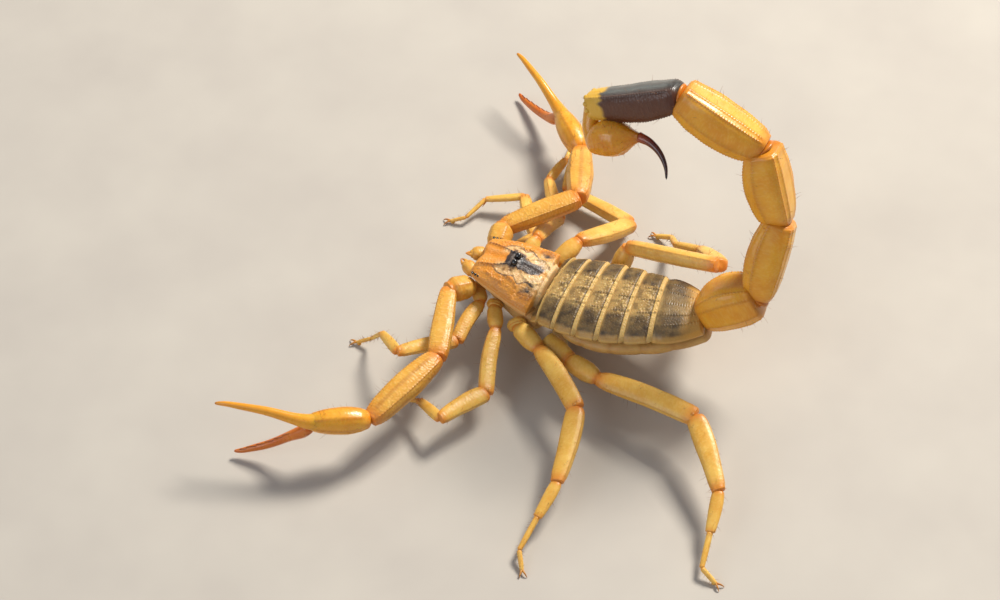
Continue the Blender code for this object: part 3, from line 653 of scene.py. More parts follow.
def build_foot(tag, node, found, ankle, side, shin, seed):
    """The foot: three slim joints, two spurs, two claws and the pad on which it rests."""
    mids = middles(found)
    ends = [ankle, mids[2], mids[4], mids[7] if len(mids) > 7 else mids[-1]]
    dirs = [unit(q - p) for p, q in zip(ends[:-1], ends[1:])]
    tip = ends[3].copy()
    tip[2] = max(tip[2], 0.34)
    ends[3] = tip
    sides, before = [], shin
    for way in dirs:
        side = turn_onto(side, before, way)
        sides.append(side)
        before = way
    size = half_sizes(found[:2], sides[0], dirs[0], 1.05)
    slim = size[0] * 0.74
    shell = Shell()
    for k, (joint, reach) in enumerate(zip(FOOT, (size, (slim, slim), (slim, slim)))):
        limb(shell, ends[k], ends[k + 1], sides[k], size=reach, seed=seed + k, **joint)
    spurs(shell, ends[1], dirs[1], sides[1], slim)
    level = unit(dirs[2] * (1, 1, 0))
    claws(shell, tip, level, unit(np.cross(level, UP)))
    pad = tip - level * 0.35
    pad[2] = 0.16
    bead(shell, pad, UP, 0.26, 0.16, dusk=0.25)
    shell.piece(tag + ".foot", FINISHES["leg"], "straw", node)


def build_leg(tag, seed):
    """A leg's three pieces.  The side direction is square to the bend of the knee, and turns from
    joint to joint by the smallest turn."""
    femur, patella, tarsus = (tag + end for end in ("_femur", "_patella", "_tarsus"))
    upper, middle, lower = rings(femur, patella)[::-1], rings(patella, femur), rings(tarsus, patella)
    a, b, c = middles(upper), middles(middle), middles(lower)
    knee, ankle = (a[-1] + b[0]) / 2, (b[-1] + c[0]) / 2
    thigh, shin = unit(knee - a[3]), unit(ankle - knee)
    side = unit(np.cross(thigh, shin))
    if np.cross(side, thigh)[2] < 0:
        side = -side
    build_thigh(tag, femur, upper, a, knee, side, thigh, seed)
    side = turn_onto(side, thigh, shin)
    build_shin(tag, patella, middle, knee, ankle, side, shin, seed + 3)
    build_foot(tag, tarsus, lower, ankle, side, shin, seed + 4)


for k, tag in enumerate("leg_%s%d" % (s, n) for s in "lr" for n in (1, 2, 3, 4)):
    build_leg(tag, LEG_SEED + 11 * k)


# ---- arms and claws ---------------------------------------------------------------------------
ARM_ROOT = ((0, 1.0, 1.0), (0.3, 1.35, 1.35), (0.75, 1.45, 1.4), (1, 1.05, 1.05))
ARM_UPPER = ((0, 0.92, 0.86), (0.05, 1.02, 0.94), (0.16, 1.10, 1.0), (0.6, 1.32, 1.08),
             (0.9, 1.24, 1.02), (1, 1.06, 0.92))
ARM_FORE = ((0, 0.98, 0.90), (0.05, 1.16, 1.06), (0.16, 1.38, 1.24), (0.45, 1.62, 1.42),
            (0.8, 1.44, 1.28), (0.93, 1.20, 1.08), (1, 0.98, 0.90))
PALM = ((0, 0.88, 0.92), (0.06, 1.08, 1.14), (0.18, 1.40, 1.48), (0.42, 1.58, 1.70),
        (0.70, 1.40, 1.52), (0.90, 1.06, 1.16), (1, 0.80, 0.88))


def teeth_row(shell, path, inward, side):
    """Rows of small dark teeth along the inner edge of a finger, set a little aslant: 0.17 mm long,
    0.13 mm apart, and each row 1.25 mm long."""
    run = np.concatenate([[0], np.cumsum(np.linalg.norm(np.diff(path, axis=0), axis=1))])
    at = np.arange(0.26 * run[-1], 0.93 * run[-1], 0.13)
    roots, ins, sides = (np.stack([np.interp(at, run, v[:, k]) for k in range(3)], 1)
                         for v in (path, inward, side))
    slant = ((at / 1.25) % 1.0 - 0.5) * 0.20
    size = 0.17
    shell.strew(roots + sides * slant[:, None], unit(ins), unit(sides),
                [(-0.10, size * 0.5, size * 0.5), (0.0, size * 0.5, size * 0.5),
                 (size * 0.55, size * 0.34, size * 0.34), (size * 0.9, size * 0.1, size * 0.1)], 6,
                dusk=1.0, keel=1.0)


def build_upper_arm(tag, root, knob, elbow, side, seed):
    """The short root of the arm and its keeled upper length."""
    along = unit(elbow - knob)
    shell = Shell()
    limb(shell, root, knob, turn_onto(side, along, unit(knob - root)), ARM_ROOT, count=(50, 56),
         ends=(0.1, 0.35), grain=(0.05, 0.34), tint=(0.0, 0.9), seed=seed,
         keels=pair(60, 0.10, 0.2, 0.1, 0.95, 0.34, 0.45))
    limb(shell, knob, elbow, side, ARM_UPPER,
         keels=(*pair(42, 0.13, 0.11, 0.03, 0.97, 0.36, 0.5),
                *pair(222, 0.12, 0.11, 0.03, 0.97, 0.36, 0.5), (0, 0.05, 0.11, 0.1, 0.9, 0.5, 0.5)),
         power=3.0, count=(170, 92), bow=0.1, grain=(0.04, 0.26), tint=(0.8, 0.9), seed=seed + 1,
         ends=(0.2, 0.15), hair=(36, 0.5, 1.2), wave=0.04)
    shell.piece(tag + ".upper", FINISHES["arm"], "straw", tag + "_femur")


def build_forearm(tag, elbow, wrist, side, seed):
    """The forearm: one stout keeled joint."""
    shell = Shell()
    limb(shell, elbow, wrist, side, ARM_FORE,
         keels=(*pair(45, 0.13, 0.12, 0.04, 0.96, 0.40, 0.5),
                *pair(225, 0.12, 0.12, 0.04, 0.96, 0.40, 0.5),
                (90, 0.04, 0.12, 0.08, 0.92, 0.46, 0.3), *pair(0, 0.05, 0.12, 0.1, 0.9, 0.5, 0.5)),
         power=2.8, count=(150, 96), bow=0.12, grain=(0.038, 0.28), tint=(0.9, 0.9), seed=seed,
         ends=(0.15, 0.15), hair=(36, 0.5, 1.3), wave=0.04)
    shell.piece(tag + ".fore", FINISHES["arm"], "straw", tag + "_patella")


def build_hand(tag, mids, wrist, side, up, seed):
    """The palm and its fixed finger, whose last seventh hooks down by 0.30 mm."""
    palm = mids[4]
    shell = Shell()
    limb(shell, wrist, palm, side, PALM,
         keels=(*pair(60, 0.05, 0.22, 0.1, 0.95, 0.0, 0.0), *pair(0, 0.04, 0.2, 0.15, 0.9, 0.0, 0.0)),
         power=2.1, count=(120, 84), grain=(0.012, 0.3), tint=(0.9, 0.35), seed=seed,
         ends=(0.15, 0.5), rounding=(0.4, 1.1), hair=(26, 0.6, 1.5), wave=0.05)
    start = wrist + (palm - wrist) * 0.66 + up * 0.16
    end = mids[7] + unit(mids[7] - mids[6]) * 0.05
    path, t = thread([start, palm + up * 0.2, mids[5], mids[6], end], 96)
    path = path - 0.30 * step(0.86, 1.0, t)[:, None] * up
    r = flow(t, (0, 0.10, 0.2, 0.34, 0.6, 0.85, 0.96, 1.0),
             (1.12, 1.08, 0.92, 0.70, 0.52, 0.37, 0.20, 0.03))
    sides, ups = stalk(shell, path, side, r * 0.92, r, 26, joint=0.35 * t,
                       dusk=step(0.9, 1.0, t) * 0.8, keel=step(0.95, 1.0, t) * 0.5)
    teeth_row(shell, path - ups * (r * 0.86)[:, None], -ups, sides)
    shell.piece(tag + ".hand", FINISHES["hand"], "amber", tag + "_hand")


def build_finger(tag, mids, side, up):
    """The finger that moves: a tapering tube whose last seventh hooks up by 0.30 mm."""
    base, lead = mids[0], unit(mids[1] - mids[0])
    end = mids[4] + unit(mids[4] - mids[3]) * 0.05
    shell = Shell()
    path, t = thread([base - lead * 0.9 + up * 0.35, *mids[:4], end], 104)
    path = path + 0.30 * step(0.86, 1.0, t)[:, None] * up
    r = flow(t, (0, 0.05, 0.13, 0.25, 0.35, 0.65, 0.86, 0.96, 1.0),
             (0.40, 0.74, 0.80, 0.68, 0.60, 0.50, 0.36, 0.19, 0.03))
    sides, ups = stalk(shell, path, side, r * 0.92, r, 26, joint=0.3 + 0.3 * t,
                       dusk=0.25 * (1 - step(0.0, 0.15, t)) + 0.8 * step(0.9, 1.0, t))
    teeth_row(shell, path + ups * (r * 0.86)[:, None], ups, sides)
    bead(shell, base - lead * 0.35, unit(sides[0]), 0.62, 0.75, dusk=0.3, joint=0.6)
    shell.piece(tag + ".finger", FINISHES["finger"], "finger", tag + "_finger")


def build_arm(tag, seed):
    """An arm's four pieces, from the root to the fingers.  The side direction is level at the
    upper arm, and turns from joint to joint by the smallest turn."""
    upper = rings(tag + "_femur", tag + "_patella")[::-1]
    a, b, c, e = (middles(found) for found in (
        upper, rings(tag + "_patella", tag + "_femur"), rings(tag + "_hand", tag + "_patella"),
        rings(tag + "_finger", tag + "_hand")))
    elbow, wrist = (a[-1] + b[0]) / 2, (b[-1] + c[0]) / 2
    d1, d2, d3 = unit(elbow - a[3]), unit(wrist - elbow), unit(c[4] - wrist)
    side = unit(np.cross(d1, UP))
    build_upper_arm(tag, a[0], a[3], elbow, side, seed)
    side = turn_onto(side, d1, d2)
    build_forearm(tag, elbow, wrist, side, seed + 2)
    side = turn_onto(side, d2, d3)
    up = np.cross(unit(side), d3)
    build_hand(tag, c, wrist, side, up, seed + 3)
    build_finger(tag, e, side, up)


build_arm("palp_l", LEFT_ARM_SEED)
build_arm("palp_r", RIGHT_ARM_SEED)


# ---- tail -------------------------------------------------------------------------------------
# Keels as (degrees round from the left side, height), each one paired with its mirror image; 90 is
# the upper face at the tail's root.  The fifth length has one more along the middle of its underside.
TAIL_KEELS = (((48, 0.20), (14, 0.11), (-20, 0.11), (-52, 0.16), (-76, 0.11)),
              ((48, 0.20), (12, 0.11), (-52, 0.16), (-76, 0.11)),
              ((48, 0.20), (-52, 0.16), (-76, 0.11), (8, 0.11)),
              ((48, 0.20), (8, 0.11), (-52, 0.16), (-76, 0.11)),
              ((48, 0.20), (-46, 0.16)))
TAIL_TWIST = (12, 26, 33, 30, 27)        # degrees each length's section is rolled about its axis
LAST = len(TAIL_TWIST) - 1


def end_stain(t, a):
    """How much of the dark tail length is yellow: its last fifth, with a ragged edge."""
    return step(0.775, 0.835, t + 0.015 * np.sin(7 * a) + 0.012 * np.sin(13 * a + 2))


def under_face(a, width):
    """A bell over the angles round the underside, which is at 270 degrees."""
    return bell(turn_from(a, 270), 0, width)


def before_end(t):
    """1 along a tail length and 0 at its yellow end."""
    return 1 - step(0.78, 0.84, t)


AMBER_LENGTH = dict(
    rows=((0, 0.66, 0.66), (0.04, 0.72, 0.72), (0.14, 0.85, 0.84), (0.32, 0.97, 0.96), (0.55, 1.02, 1.02),
          (0.75, 0.98, 0.98), (0.90, 0.88, 0.88), (0.965, 0.84, 0.84), (1, 0.74, 0.74)),
    grain=(0.010, 0.27), tint=(0.45, 0.35), bow=0.30,
    dusk=lambda t, a: 0.40 * bell(t, 1.0, 0.020) + 0.35 * bell(t, 0.0, 0.022),
    pale=lambda t, a: 0.35 * under_face(a, 0.25))
DARK_LENGTH = dict(
    rows=((0, 0.64, 0.62), (0.02, 0.76, 0.74), (0.10, 0.92, 0.90), (0.38, 1, 1), (0.8, 0.88, 0.88),
          (0.94, 0.78, 0.80), (0.985, 0.72, 0.74), (1, 0.60, 0.64)),
    grain=(0.040, 0.27), tint=(0.0, 0.0), bow=0.35, stain=end_stain,
    dusk=lambda t, a: 0.9 * (1 - under_face(a, 0.85)) * before_end(t),
    pale=lambda t, a: 0.65 * under_face(a, 0.75) * step(0.04, 0.12, t) * before_end(t))


def tail_keels(k):
    """The keels of tail length k in limb()'s terms, and the shallow hollow of its upper face."""
    rest = (0.17, 0.04, 0.98, 0.36, 0.6 if k == LAST else 0.35)
    keels = [keel for angle, height in TAIL_KEELS[k] for keel in pair(angle, height, *rest)]
    if k == LAST:
        keels.append((270, 0.11, *rest))
    return keels + [(90, -0.22, 0.9, 0.02, 0.98, 0.0, 0.0)]


def end_band(shell, start, stop, side, size):
    """Eight rounded lobes round the rear edge of the last tail length."""
    d = unit(stop - start)
    up = np.cross(side, d)
    a = np.radians([-52.0, -22.0, 8.0, 38.0, 142.0, 172.0, 202.0, 232.0])
    across, rise = np.cos(a)[:, None] * side, np.sin(a)[:, None] * up
    roots = stop - d * 0.25 + size[0] * 0.70 * across + size[1] * 0.74 * rise
    shell.strew(roots, unit(across + rise + 0.8 * d), np.tile(d, (len(a), 1)),
                [(-0.3, 0.36, 0.34), (0.05, 0.36, 0.34), (0.24, 0.28, 0.26), (0.34, 0.12, 0.12)], 12,
                joint=1.0)


def build_tail():
    """The five lengths of the tail, each a keeled tube rolled a little about its own axis, with a
    soft red ring in every joint.  Returns the tail's joints, directions and last side direction."""
    names = ["tail_segment_%d" % k for k in range(1, 6)]
    found = [rings(name, before) for name, before in zip(names, ["back_plate_7"] + names)]
    mids = [middles(f) for f in found]
    joints = [mids[0][0]] + [(p[-1] + q[0]) / 2 for p, q in zip(mids, mids[1:])] + [mids[LAST][-1]]
    dirs = [unit(q - p) for p, q in zip(joints, joints[1:])]
    side, before = BACK[-1]["left"], BACK[-1]["tail"]
    for k, d in enumerate(dirs):
        side = turn_onto(side, before, d)
        side = unit(side - d * (side @ d))
        before = d
        roll = radians(TAIL_TWIST[k])
        rolled = side * cos(roll) + np.cross(side, d) * sin(roll)
        size = half_sizes(found[k][1:4], rolled, d, 1.03)
        shell = Shell()
        limb(shell, joints[k], joints[k + 1], rolled, size=size, keels=tail_keels(k), power=3.3,
             count=(230, 132), ends=(0.16, 0.14), wave=0.05, seed=TAIL_SEED + 13 * k, hair=(34, 0.5, 1.2),
             **(DARK_LENGTH if k == LAST else AMBER_LENGTH))
        if k == LAST:
            end_band(shell, joints[k], joints[k + 1], rolled, size)
        else:
            bead(shell, joints[k + 1], unit(d + dirs[k + 1]), min(size) * 0.60, 0.40, 40,
                 joint=0.75, dusk=0.25)
        shell.piece("tail.%d" % (k + 1), FINISHES["dark_tail" if k == LAST else "tail"],
                    "dark_tail" if k == LAST else "amber", names[k])
    return joints, dirs, side


def build_bulb(mids, sting_root, top, last_way, d, across):
    """The venom bulb: a swollen tube with grains, four beaded rows and a groove along its
    underside, and the stalk that hangs it from the last tail length."""
    third = np.cross(across, d)
    if third[2] < 0:
        third = -third
    path, t = thread(np.concatenate([mids[:1] - d * 0.25, mids, sting_root[None] + d * 0.1]), 120)
    t = t[:, None]
    radius = flow(t, (0, 0.03, 0.08, 0.16, 0.28, 0.42, 0.58, 0.72, 0.84, 0.94, 1.0),
                  (0.60, 1.10, 1.52, 1.86, 2.14, 2.26, 2.12, 1.66, 1.12, 0.74, 0.58))
    a, ca, sa = around(88, 2.0)
    x = t * 7.0
    grains = granules(x, a * 2.0, 0.42, 71, 0.6)
    beads = sum(bell(turn_from(a, q), 0, 0.10) for q in (250, 290, 215, 325))
    beads = beads * (0.5 + 0.5 * np.cos(tau * x / 0.62))
    lift = 0.028 * grains + 0.07 * beads * step(0.08, 0.2, t) * (1 - step(0.7, 0.85, t))
    lift = lift + 0.04 * mottle(x, a * 2, 1.6, 5)
    groove = -0.10 * under_face(a, 0.12) * bell(t, 0.45, 0.3)
    rise = (radius * np.where(sa > 0, 0.90, 1.02) + lift + groove) * sa
    grid = path[:, None] + ((radius + lift) * ca)[..., None] * across + rise[..., None] * third
    shell = Shell()
    shell.closed(grid, grain=grains, keel=0.35 * beads, joint=0.8 * bell(t, 0.0, 0.06),
                 dusk=0.55 * step(0.86, 1.0, t), pale=0.35 * bell(t, 0.4, 0.3) * (sa > 0))
    grow(grid, d, BULB_SEED, 34, 0.6, 1.6, 0.2)
    neck, t = thread([top, top * 0.45 + mids[0] * 0.55 + last_way * 0.35, mids[0] + d * 0.35], 30)
    size = flow(t, (0, 0.3, 0.65, 1), (1.10, 1.02, 0.92, 1.05))
    stalk(shell, neck, across, size, size, 30, joint=0.9 * bell(t, 0.0, 0.3) + 0.3, pale=0.3)
    shell.piece("venom.bulb", FINISHES["bulb"], "amber", "venom_bulb")


def build_sting(mids, across):
    """The sting: a curved tube whose radius flows from 0.60 mm to a point."""
    path, _ = thread(mids, 90)
    path = np.concatenate([path, path[-1:] + unit(path[-1] - path[-2]) * 0.12])
    t = np.linspace(0, 1, len(path))
    r = flow(t, (0, 0.06, 0.3, 0.6, 0.9, 0.98, 1), (0.60, 0.56, 0.42, 0.30, 0.15, 0.07, 0.015))
    shell = Shell()
    stalk(shell, path, across, r, r * 1.06, 26, joint=0.9 * (1 - step(0.0, 0.35, t)),
          dusk=step(0.35, 0.8, t))
    shell.piece("sting.point", FINISHES["sting"], "sting", "sting")


def build_telson(joints, dirs, side):
    """The bulb and the sting, along the line from the bulb's third ring to its last."""
    bulb, sting = (middles(found) for found in (rings("venom_bulb", "sting")[::-1],
                                                rings("sting", "venom_bulb")))
    d = unit(bulb[-1] - bulb[2])
    across = unit(side - d * (side @ d))
    build_bulb(bulb, sting[0], joints[-1] - dirs[-1] * 0.35, dirs[-1], d, across)
    build_sting(sting, across)


# ---- back and belly ---------------------------------------------------------------------------
def section(ring):
    """A ring's middle, left, tailward and up directions: its widest spread and its narrowest."""
    c = ring.mean(0)
    _, _, v = np.linalg.svd(ring - c)
    left, tail = v[0] * np.sign(v[0][0]), v[2] * np.sign(v[2][1])
    return c, left, tail, np.cross(left, tail)


def station(ring):
    """The frame of a plate's end ring: its middle, directions, half width and dome height."""
    c, left, tail, up = section(ring)
    x = (ring - c) @ left
    centre = ring[[x.argmax(), x.argmin()]].mean(0)
    return dict(centre=centre, left=left, tail=tail, up=up, half=np.ptp(x) / 2,
                dome=((ring - centre) @ up).max())


PLATES = [rings("back_plate_%d" % k, "back_plate_%d" % (k + 1))[::-1] for k in range(1, 7)]
PLATES.append(rings("back_plate_7", "back_plate_6"))
BACK = [station(PLATES[0][0])]
for k in range(6):
    front, rear = station(PLATES[k][-1]), station(PLATES[k + 1][0])
    BACK.append({key: (front[key] + rear[key]) / 2 for key in front})
BACK.append(station(PLATES[6][-1]))


def between(a, b, f):
    """The back's frame a share f of the way from station a to station b."""
    out = {k: a[k] * (1 - f[:, None]) + b[k] * f[:, None] for k in ("centre", "left", "up")}
    out["left"], out["up"] = unit(out["left"]), unit(out["up"])
    for k in ("half", "dome"):
        out[k] = a[k] * (1 - f) + b[k] * f
    return out


def plate_grid(frames, half, dome, n_top, n_under, thick, lift, relief, shut):
    """A domed plate: its top is dome times (1 - |x / half| ^ 2.2) ^ 0.45 plus relief(x, u), and it
    turns under at the sides to a shallow underside.  Both ends are rolled over by shut."""
    q = np.linspace(-pi / 2, pi / 2, n_top)
    u = (0.35 * np.sin(q) + 0.65 * (q / (pi / 2)))[None]
    half, lift, shut = half[:, None], lift[:, None], shut[:, None]
    x = half * u
    add, tones = relief(x, u)
    z = dome[:, None] * np.clip(1 - np.abs(u) ** 2.2, 0, 1) ** 0.45
    z = z + add * np.clip((1 - np.abs(u)) / 0.04, 0, 1) + lift
    v = np.linspace(1, -1, n_under + 2)[1:-1]
    under = lift - thick * np.clip((1 - np.abs(v)) / 0.07, 0, 1) ** 0.5
    x, z = np.concatenate([x, half * v * 0.96], 1), np.concatenate([z, under], 1)
    mid = lift - 0.15
    top_shut = 1 - (1 - shut) * np.minimum(1, 0.5 / np.maximum(z - mid, 0.3))
    z = mid + (z - mid) * np.where(z > mid, top_shut, shut)
    left, up = frames["left"][:, None], frames["up"][:, None]
    grid = frames["centre"][:, None] + x[..., None] * left + z[..., None] * up
    bare = np.zeros((len(half), n_under))
    return grid, {t: np.concatenate([np.broadcast_to(value, add.shape), bare], 1)
                  for t, value in tones.items()}


def plate_keels(x, y, s, first, keels):
    """Height and tone of keels given as (place, height, width): bells across the plate that begin
    at share first of its length, beaded every 0.34 mm."""
    out, ridge = np.zeros_like(x), np.zeros_like(x)
    for at, height, width in keels:
        line = bell(x, at, width) * step(first, 0.45, s) * (1 - 0.5 * step(0.93, 1.0, s))
        out = out + height * line * (0.6 + 0.4 * np.cos(tau * y / 0.34))
        ridge = np.maximum(ridge, line)
    return out, ridge


def plate_noise(k, x, y):
    """Coarse grains, fine grains and soft noise of plate k."""
    return (granules(x + 40.0 * k, y, 0.36, 500 + k, 0.70), granules(x + 40.0 * k, y, 0.19, 530 + k, 0.80),
            mottle(x + 5 * k, y, 0.55, 620 + k))


def plate_relief(k, x, y, s, half, flank):
    """Plates 1 to 6: three keels, grains towards the rear, a furrow before the raised rear rim,
    and dark lobes over the flanks; painted shade darkens the front edge and the furrow, and the pale
    granules along the middle are partly the plate's tan and partly painted sunlight.  Gives the hills in
    mm and the tones."""
    coarse, finer, soft = plate_noise(k, x, y)
    out, ridge = plate_keels(x, y, s, 0.16, [(q * half, 0.17, 0.15) for q in (0.0, 0.36, -0.36)])
    rear, mid = step(0.22, 0.50, s), 1 - step(0.34, 0.56, flank)
    rim = np.maximum(step(0.82, 0.85, s), 0.8 * step(0.984, 0.991, flank))
    out = out + 0.085 * coarse * rear * (0.35 + 0.65 * mid) + 0.030 * finer * step(0.10, 0.3, s)
    out = out + 0.05 * rim - 0.10 * bell(s, 0.80, 0.035) - 0.05 * bell(flank, 0.972, 0.008)
    lobe = step(0.36, 0.52, flank) * (1 - step(0.88, 0.975, flank + 0.03 * soft))
    lobe = lobe * step(0.05, 0.22, s) * (1 - rim)
    # painted shade: front marks a thin band along the plate's front edge, under the plate before, that the
    # dusk tone darkens
    front = 1 - step(0.07, 0.15, s)
    return out, dict(
        keel=ridge, grain=np.maximum(coarse * rear * mid, 0.45 * finer),
        dusk=np.clip(0.95 * lobe + 0.9 * front + 0.55 * mid * (1 - rim) * step(-0.15, 0.5, soft)
                     # painted shade: the dusk bell at share 0.80 darkens the furrow before the rear rim
                     + 0.75 * bell(s, 0.80, 0.025), 0, 1),
        # partly the plate's tan and partly painted sunlight: pale over the coarse granules along the middle
        pale=np.clip(0.72 * rim + 0.50 * mid * coarse * rear, 0, 1) * (1 - 0.8 * front),
        joint=np.clip(0.45 * step(0.88, 0.97, flank) * (1 - rim) + 0.15 * rim, 0, 1))


def last_plate_relief(k, x, y, s, half, flank):
    """Plate 7: five low keels, dark brown that gives way to red towards the tail, and painted shade
    along its front edge.  Gives the hills in mm and the tones."""
    coarse, finer, soft = plate_noise(k, x, y)
    keels = [(q * half, 0.13, 0.13) for q in (0.36, 0.66, -0.36, -0.66)]
    out, ridge = plate_keels(x, y, s, 0.08, [(0.0, 0.08, 0.20)] + keels)
    mid = 1 - step(0.34, 0.56, flank)
    rim = 0.8 * step(0.984, 0.991, flank)
    out = out + 0.020 * finer * step(0.05, 0.2, s) + 0.04 * coarse * step(0.6, 0.9, s) * mid + 0.05 * rim
    hind = step(0.60, 0.98, s + 0.10 * flank + 0.05 * soft)
    brown = (1 - hind) * (0.72 + 0.28 * step(0.15, 0.5, flank)) * (1 - step(0.90, 0.985, flank))
    return out, dict(
        keel=0.6 * ridge, grain=0.35 * finer,
        # painted shade: 0.8 dusk in a thin band along the front edge, under plate 6
        dusk=np.clip(0.95 * brown + 0.8 * (1 - step(0.03, 0.07, s)), 0, 1),
        pale=np.clip(0.45 * rim + 0.10 * mid * (1 - hind) + 0.6 * bell(s, 0.10, 0.03), 0, 1),
        joint=np.clip(0.62 * hind + 0.45 * step(0.88, 0.97, flank), 0, 1))


def build_plate(k):
    """Back plate k, 1 to 7, from its own front to a little over the next one's."""
    last = k == 7
    count = 200 if last else 74 if k == 1 else 96
    over = 0.22
    length = np.linalg.norm(BACK[k]["centre"] - BACK[k - 1]["centre"])
    f = np.linspace(-over / length, 1 + (0.0 if last else over * 0.9 / length), count)
    frames = between(BACK[k - 1], BACK[k], f)
    share = (f - f[0]) / (f[-1] - f[0])
    half = frames["half"] + 0.08 - 0.30 * (1 - step(0.0, 0.30, share)) - 0.15 * (1 - step(0.0, 0.08, share))
    if last:
        half = half + 0.55 * np.clip(f * (1 - f), 0, 1) * 4
        lift = -0.10 + 0.10 * step(0.0, 0.3, share)
    else:
        half = half - 0.34 * step(0.76, 1.0, share) ** 2
        lift = -0.10 + 0.20 * step(0.0, 0.9, share)
    run = (f[-1] - f[0]) * length

    def relief(x, u):
        """Hills and tones of this plate over places x and shares u of its half width."""
        y = (f * length)[:, None]
        hills = last_plate_relief if last else plate_relief
        out, tones = hills(k, x, y, share[:, None], half[:, None], np.abs(u))
        return out + 0.05 * mottle(x + 9 * k, y, 1.5, 600 + k), tones

    grid, tones = plate_grid(frames, half, frames["dome"], 240 if last else 300, 40, 0.42, lift, relief,
                             dome_ends(share * run, 0, run, 0.10, 0.12))
    shell = Shell()
    shell.closed(grid, **tones)
    shell.piece("back.%d" % k, FINISHES["back"], "back_grey", "back_plate_%d" % k)


for k in range(1, 8):
    build_plate(k)
TAIL_JOINTS, TAIL_DIRS, TAIL_SIDE = build_tail()
build_telson(TAIL_JOINTS, TAIL_DIRS, TAIL_SIDE)


def breathing_holes(shell, grid, centre, left):
    """Slit-shaped holes, a pair on each of four belly plates: low lipped pegs on the underside."""
    m, n = grid.shape[:2]
    for share in (0.28, 0.46, 0.63, 0.80):
        i = int(share * (m - 1))
        for sign in (1, -1):
            j = int((0.75 - sign * 0.105) * n)
            shell.strew(grid[i, j], unit(grid[i, j] - centre[i]), left[i],
                        [(-0.10, 0.42, 0.16), (0.03, 0.42, 0.16), (0.05, 0.30, 0.08), (-0.02, 0.2, 0.03)],
                        14, dusk=1.0)


def build_belly():
    """The soft sides and underside: a trough under the back plates with five cross folds."""
    first = station(PLATES[6][-1])
    found = rings_from_plane("belly", first["centre"], first["tail"])[::-1]
    info = []
    for ring in found:
        c, left, _, up = section(ring)
        z = (ring - c) @ up
        info.append(np.concatenate([c, left, up, [np.ptp((ring - c) @ left) / 2, z.min(), z.max()]]))
    info = np.array(info)
    run = np.concatenate([[0], np.cumsum(np.linalg.norm(np.diff(info[:, :3], axis=0), axis=1))])
    at = np.linspace(0, run[-1], 190)
    flowed = np.stack([flow(at, run, column) for column in info.T], 1)
    centre, left, up = flowed[:, :3], unit(flowed[:, 3:6]), unit(flowed[:, 6:9])
    half, low, high = (column[:, None] for column in flowed[:, 9:].T)
    at = at[:, None]
    share = at / run[-1]
    shut = dome_ends(at, 0, run[-1], 0.8, 1.1)
    half = half * (1 - 0.16 * step(0.84, 1.0, share))
    a, ca, sa = around(120, 2.4)
    crests = np.abs(np.sin(pi * share * 5.0 + 0.4))
    fold = 0.12 * crests ** 0.35 - 0.12
    x = half * shut * ca * 0.93 + fold * ca
    z = low * shut * np.clip(-sa, 0, 1) + high * shut * np.clip(sa, 0, 1)
    z = z + (fold + 0.03 * mottle(at * 2.5, a * 5, 0.5, 9)) * sa
    grid = centre[:, None] + x[..., None] * left[:, None] + z[..., None] * up[:, None]
    shell = Shell()
    shell.closed(grid, grain=0.3 * granules(at, a * 4, 0.3, 12), joint=0.35 * (1 - step(0.0, 0.5, crests)),
                 pale=0.2)
    breathing_holes(shell, grid, centre, left)
    shell.piece("belly.skin", FINISHES["belly"], "belly", "belly")


build_belly()


# ---- head shield ------------------------------------------------------------------------------
def slices(y, reach, least):
    """Places every 0.1 mm along y, each with a mark on the points nearer to it than reach, where
    there are at least so many points."""
    for place in np.unique(np.round(y, 1)):
        near = np.abs(y - place) < reach
        if near.sum() >= least:
            yield place, near


def thinned(rows):
    """Rows whose first value is more than 0.15 above that of the row before."""
    rows = np.array(rows)
    return rows[np.concatenate([[True], np.diff(rows[:, 0]) > 0.15])]


def head_frame():
    """The shield's rear middle, its directions, and its half width and dome along its length."""
    left = unit(SOLIDS["eye_left"][0].mean(0) - SOLIDS["eye_right"][0].mean(0))
    points, edges = SOLIDS["carapace"]
    level = walk(edges, facing("carapace", "back_plate_1"))
    mids = []
    for ring in (points[level == k] for k in (0, 1, 2)):
        x = (ring - ring.mean(0)) @ left
        mids.append(ring[[x.argmax(), x.argmin()]].mean(0))
    tail = unit(mids[1] - mids[2])
    left = unit(left - tail * (left @ tail))
    up = np.cross(left, tail)
    points = points - mids[0]
    x, y, z = points @ left, points @ tail, points @ up
    return mids[0], left, tail, up, thinned([
        (place, np.ptp(x[near]) / 2, z[near].max()) for place, near in slices(y, 0.11, 5)
        if np.ptp(x[near]) > 3])


HEAD, LEFT, TAILWARD, HEAD_UP, SHIELD = head_frame()


def on_head(x, y, z):
    """Points given as left, tailward and up distances from the shield's rear middle."""
    x, y, z = np.broadcast_arrays(x, y, z)
    return HEAD + x[..., None] * LEFT + y[..., None] * TAILWARD + z[..., None] * HEAD_UP


SIDES = ((1, "left"), (-1, "right"))
EYE_Y = float(np.mean([(SOLIDS["eye_" + hand][0].mean(0) - HEAD) @ TAILWARD for _, hand in SIDES]))
FRONT_Y = float(SHIELD[0, 0])
THROUGH_EYES = ((EYE_Y - 0.6, 1.02), (EYE_Y - 2.0, 1.42))
SHORE = ((EYE_Y - 2.3, 1.7), (EYE_Y - 1.4, 2.25), (EYE_Y - 0.3, 2.45), (EYE_Y + 0.5, 2.05),
         (EYE_Y + 1.3, 2.6), (EYE_Y + 2.4, 2.0), (EYE_Y + 3.3, 2.2))       # round the pale middle


def both(x, at, width):
    """A bell at a place and the same bell at its mirror image."""
    return np.maximum(bell(x, at, width), bell(x, -at, width))


def crease(x, y, path, width):
    """exp(-(distance across / width) squared) from a line given as (y, x) points, on both sides."""
    path = np.array(sorted(path))
    first, last = path[0, 0], path[-1, 0]
    inside = step(first - 0.25, first + 0.15, y) * (1 - step(last - 0.15, last + 0.25, y))
    return both(x, flow(y, path[:, 0], path[:, 1]), width) * inside


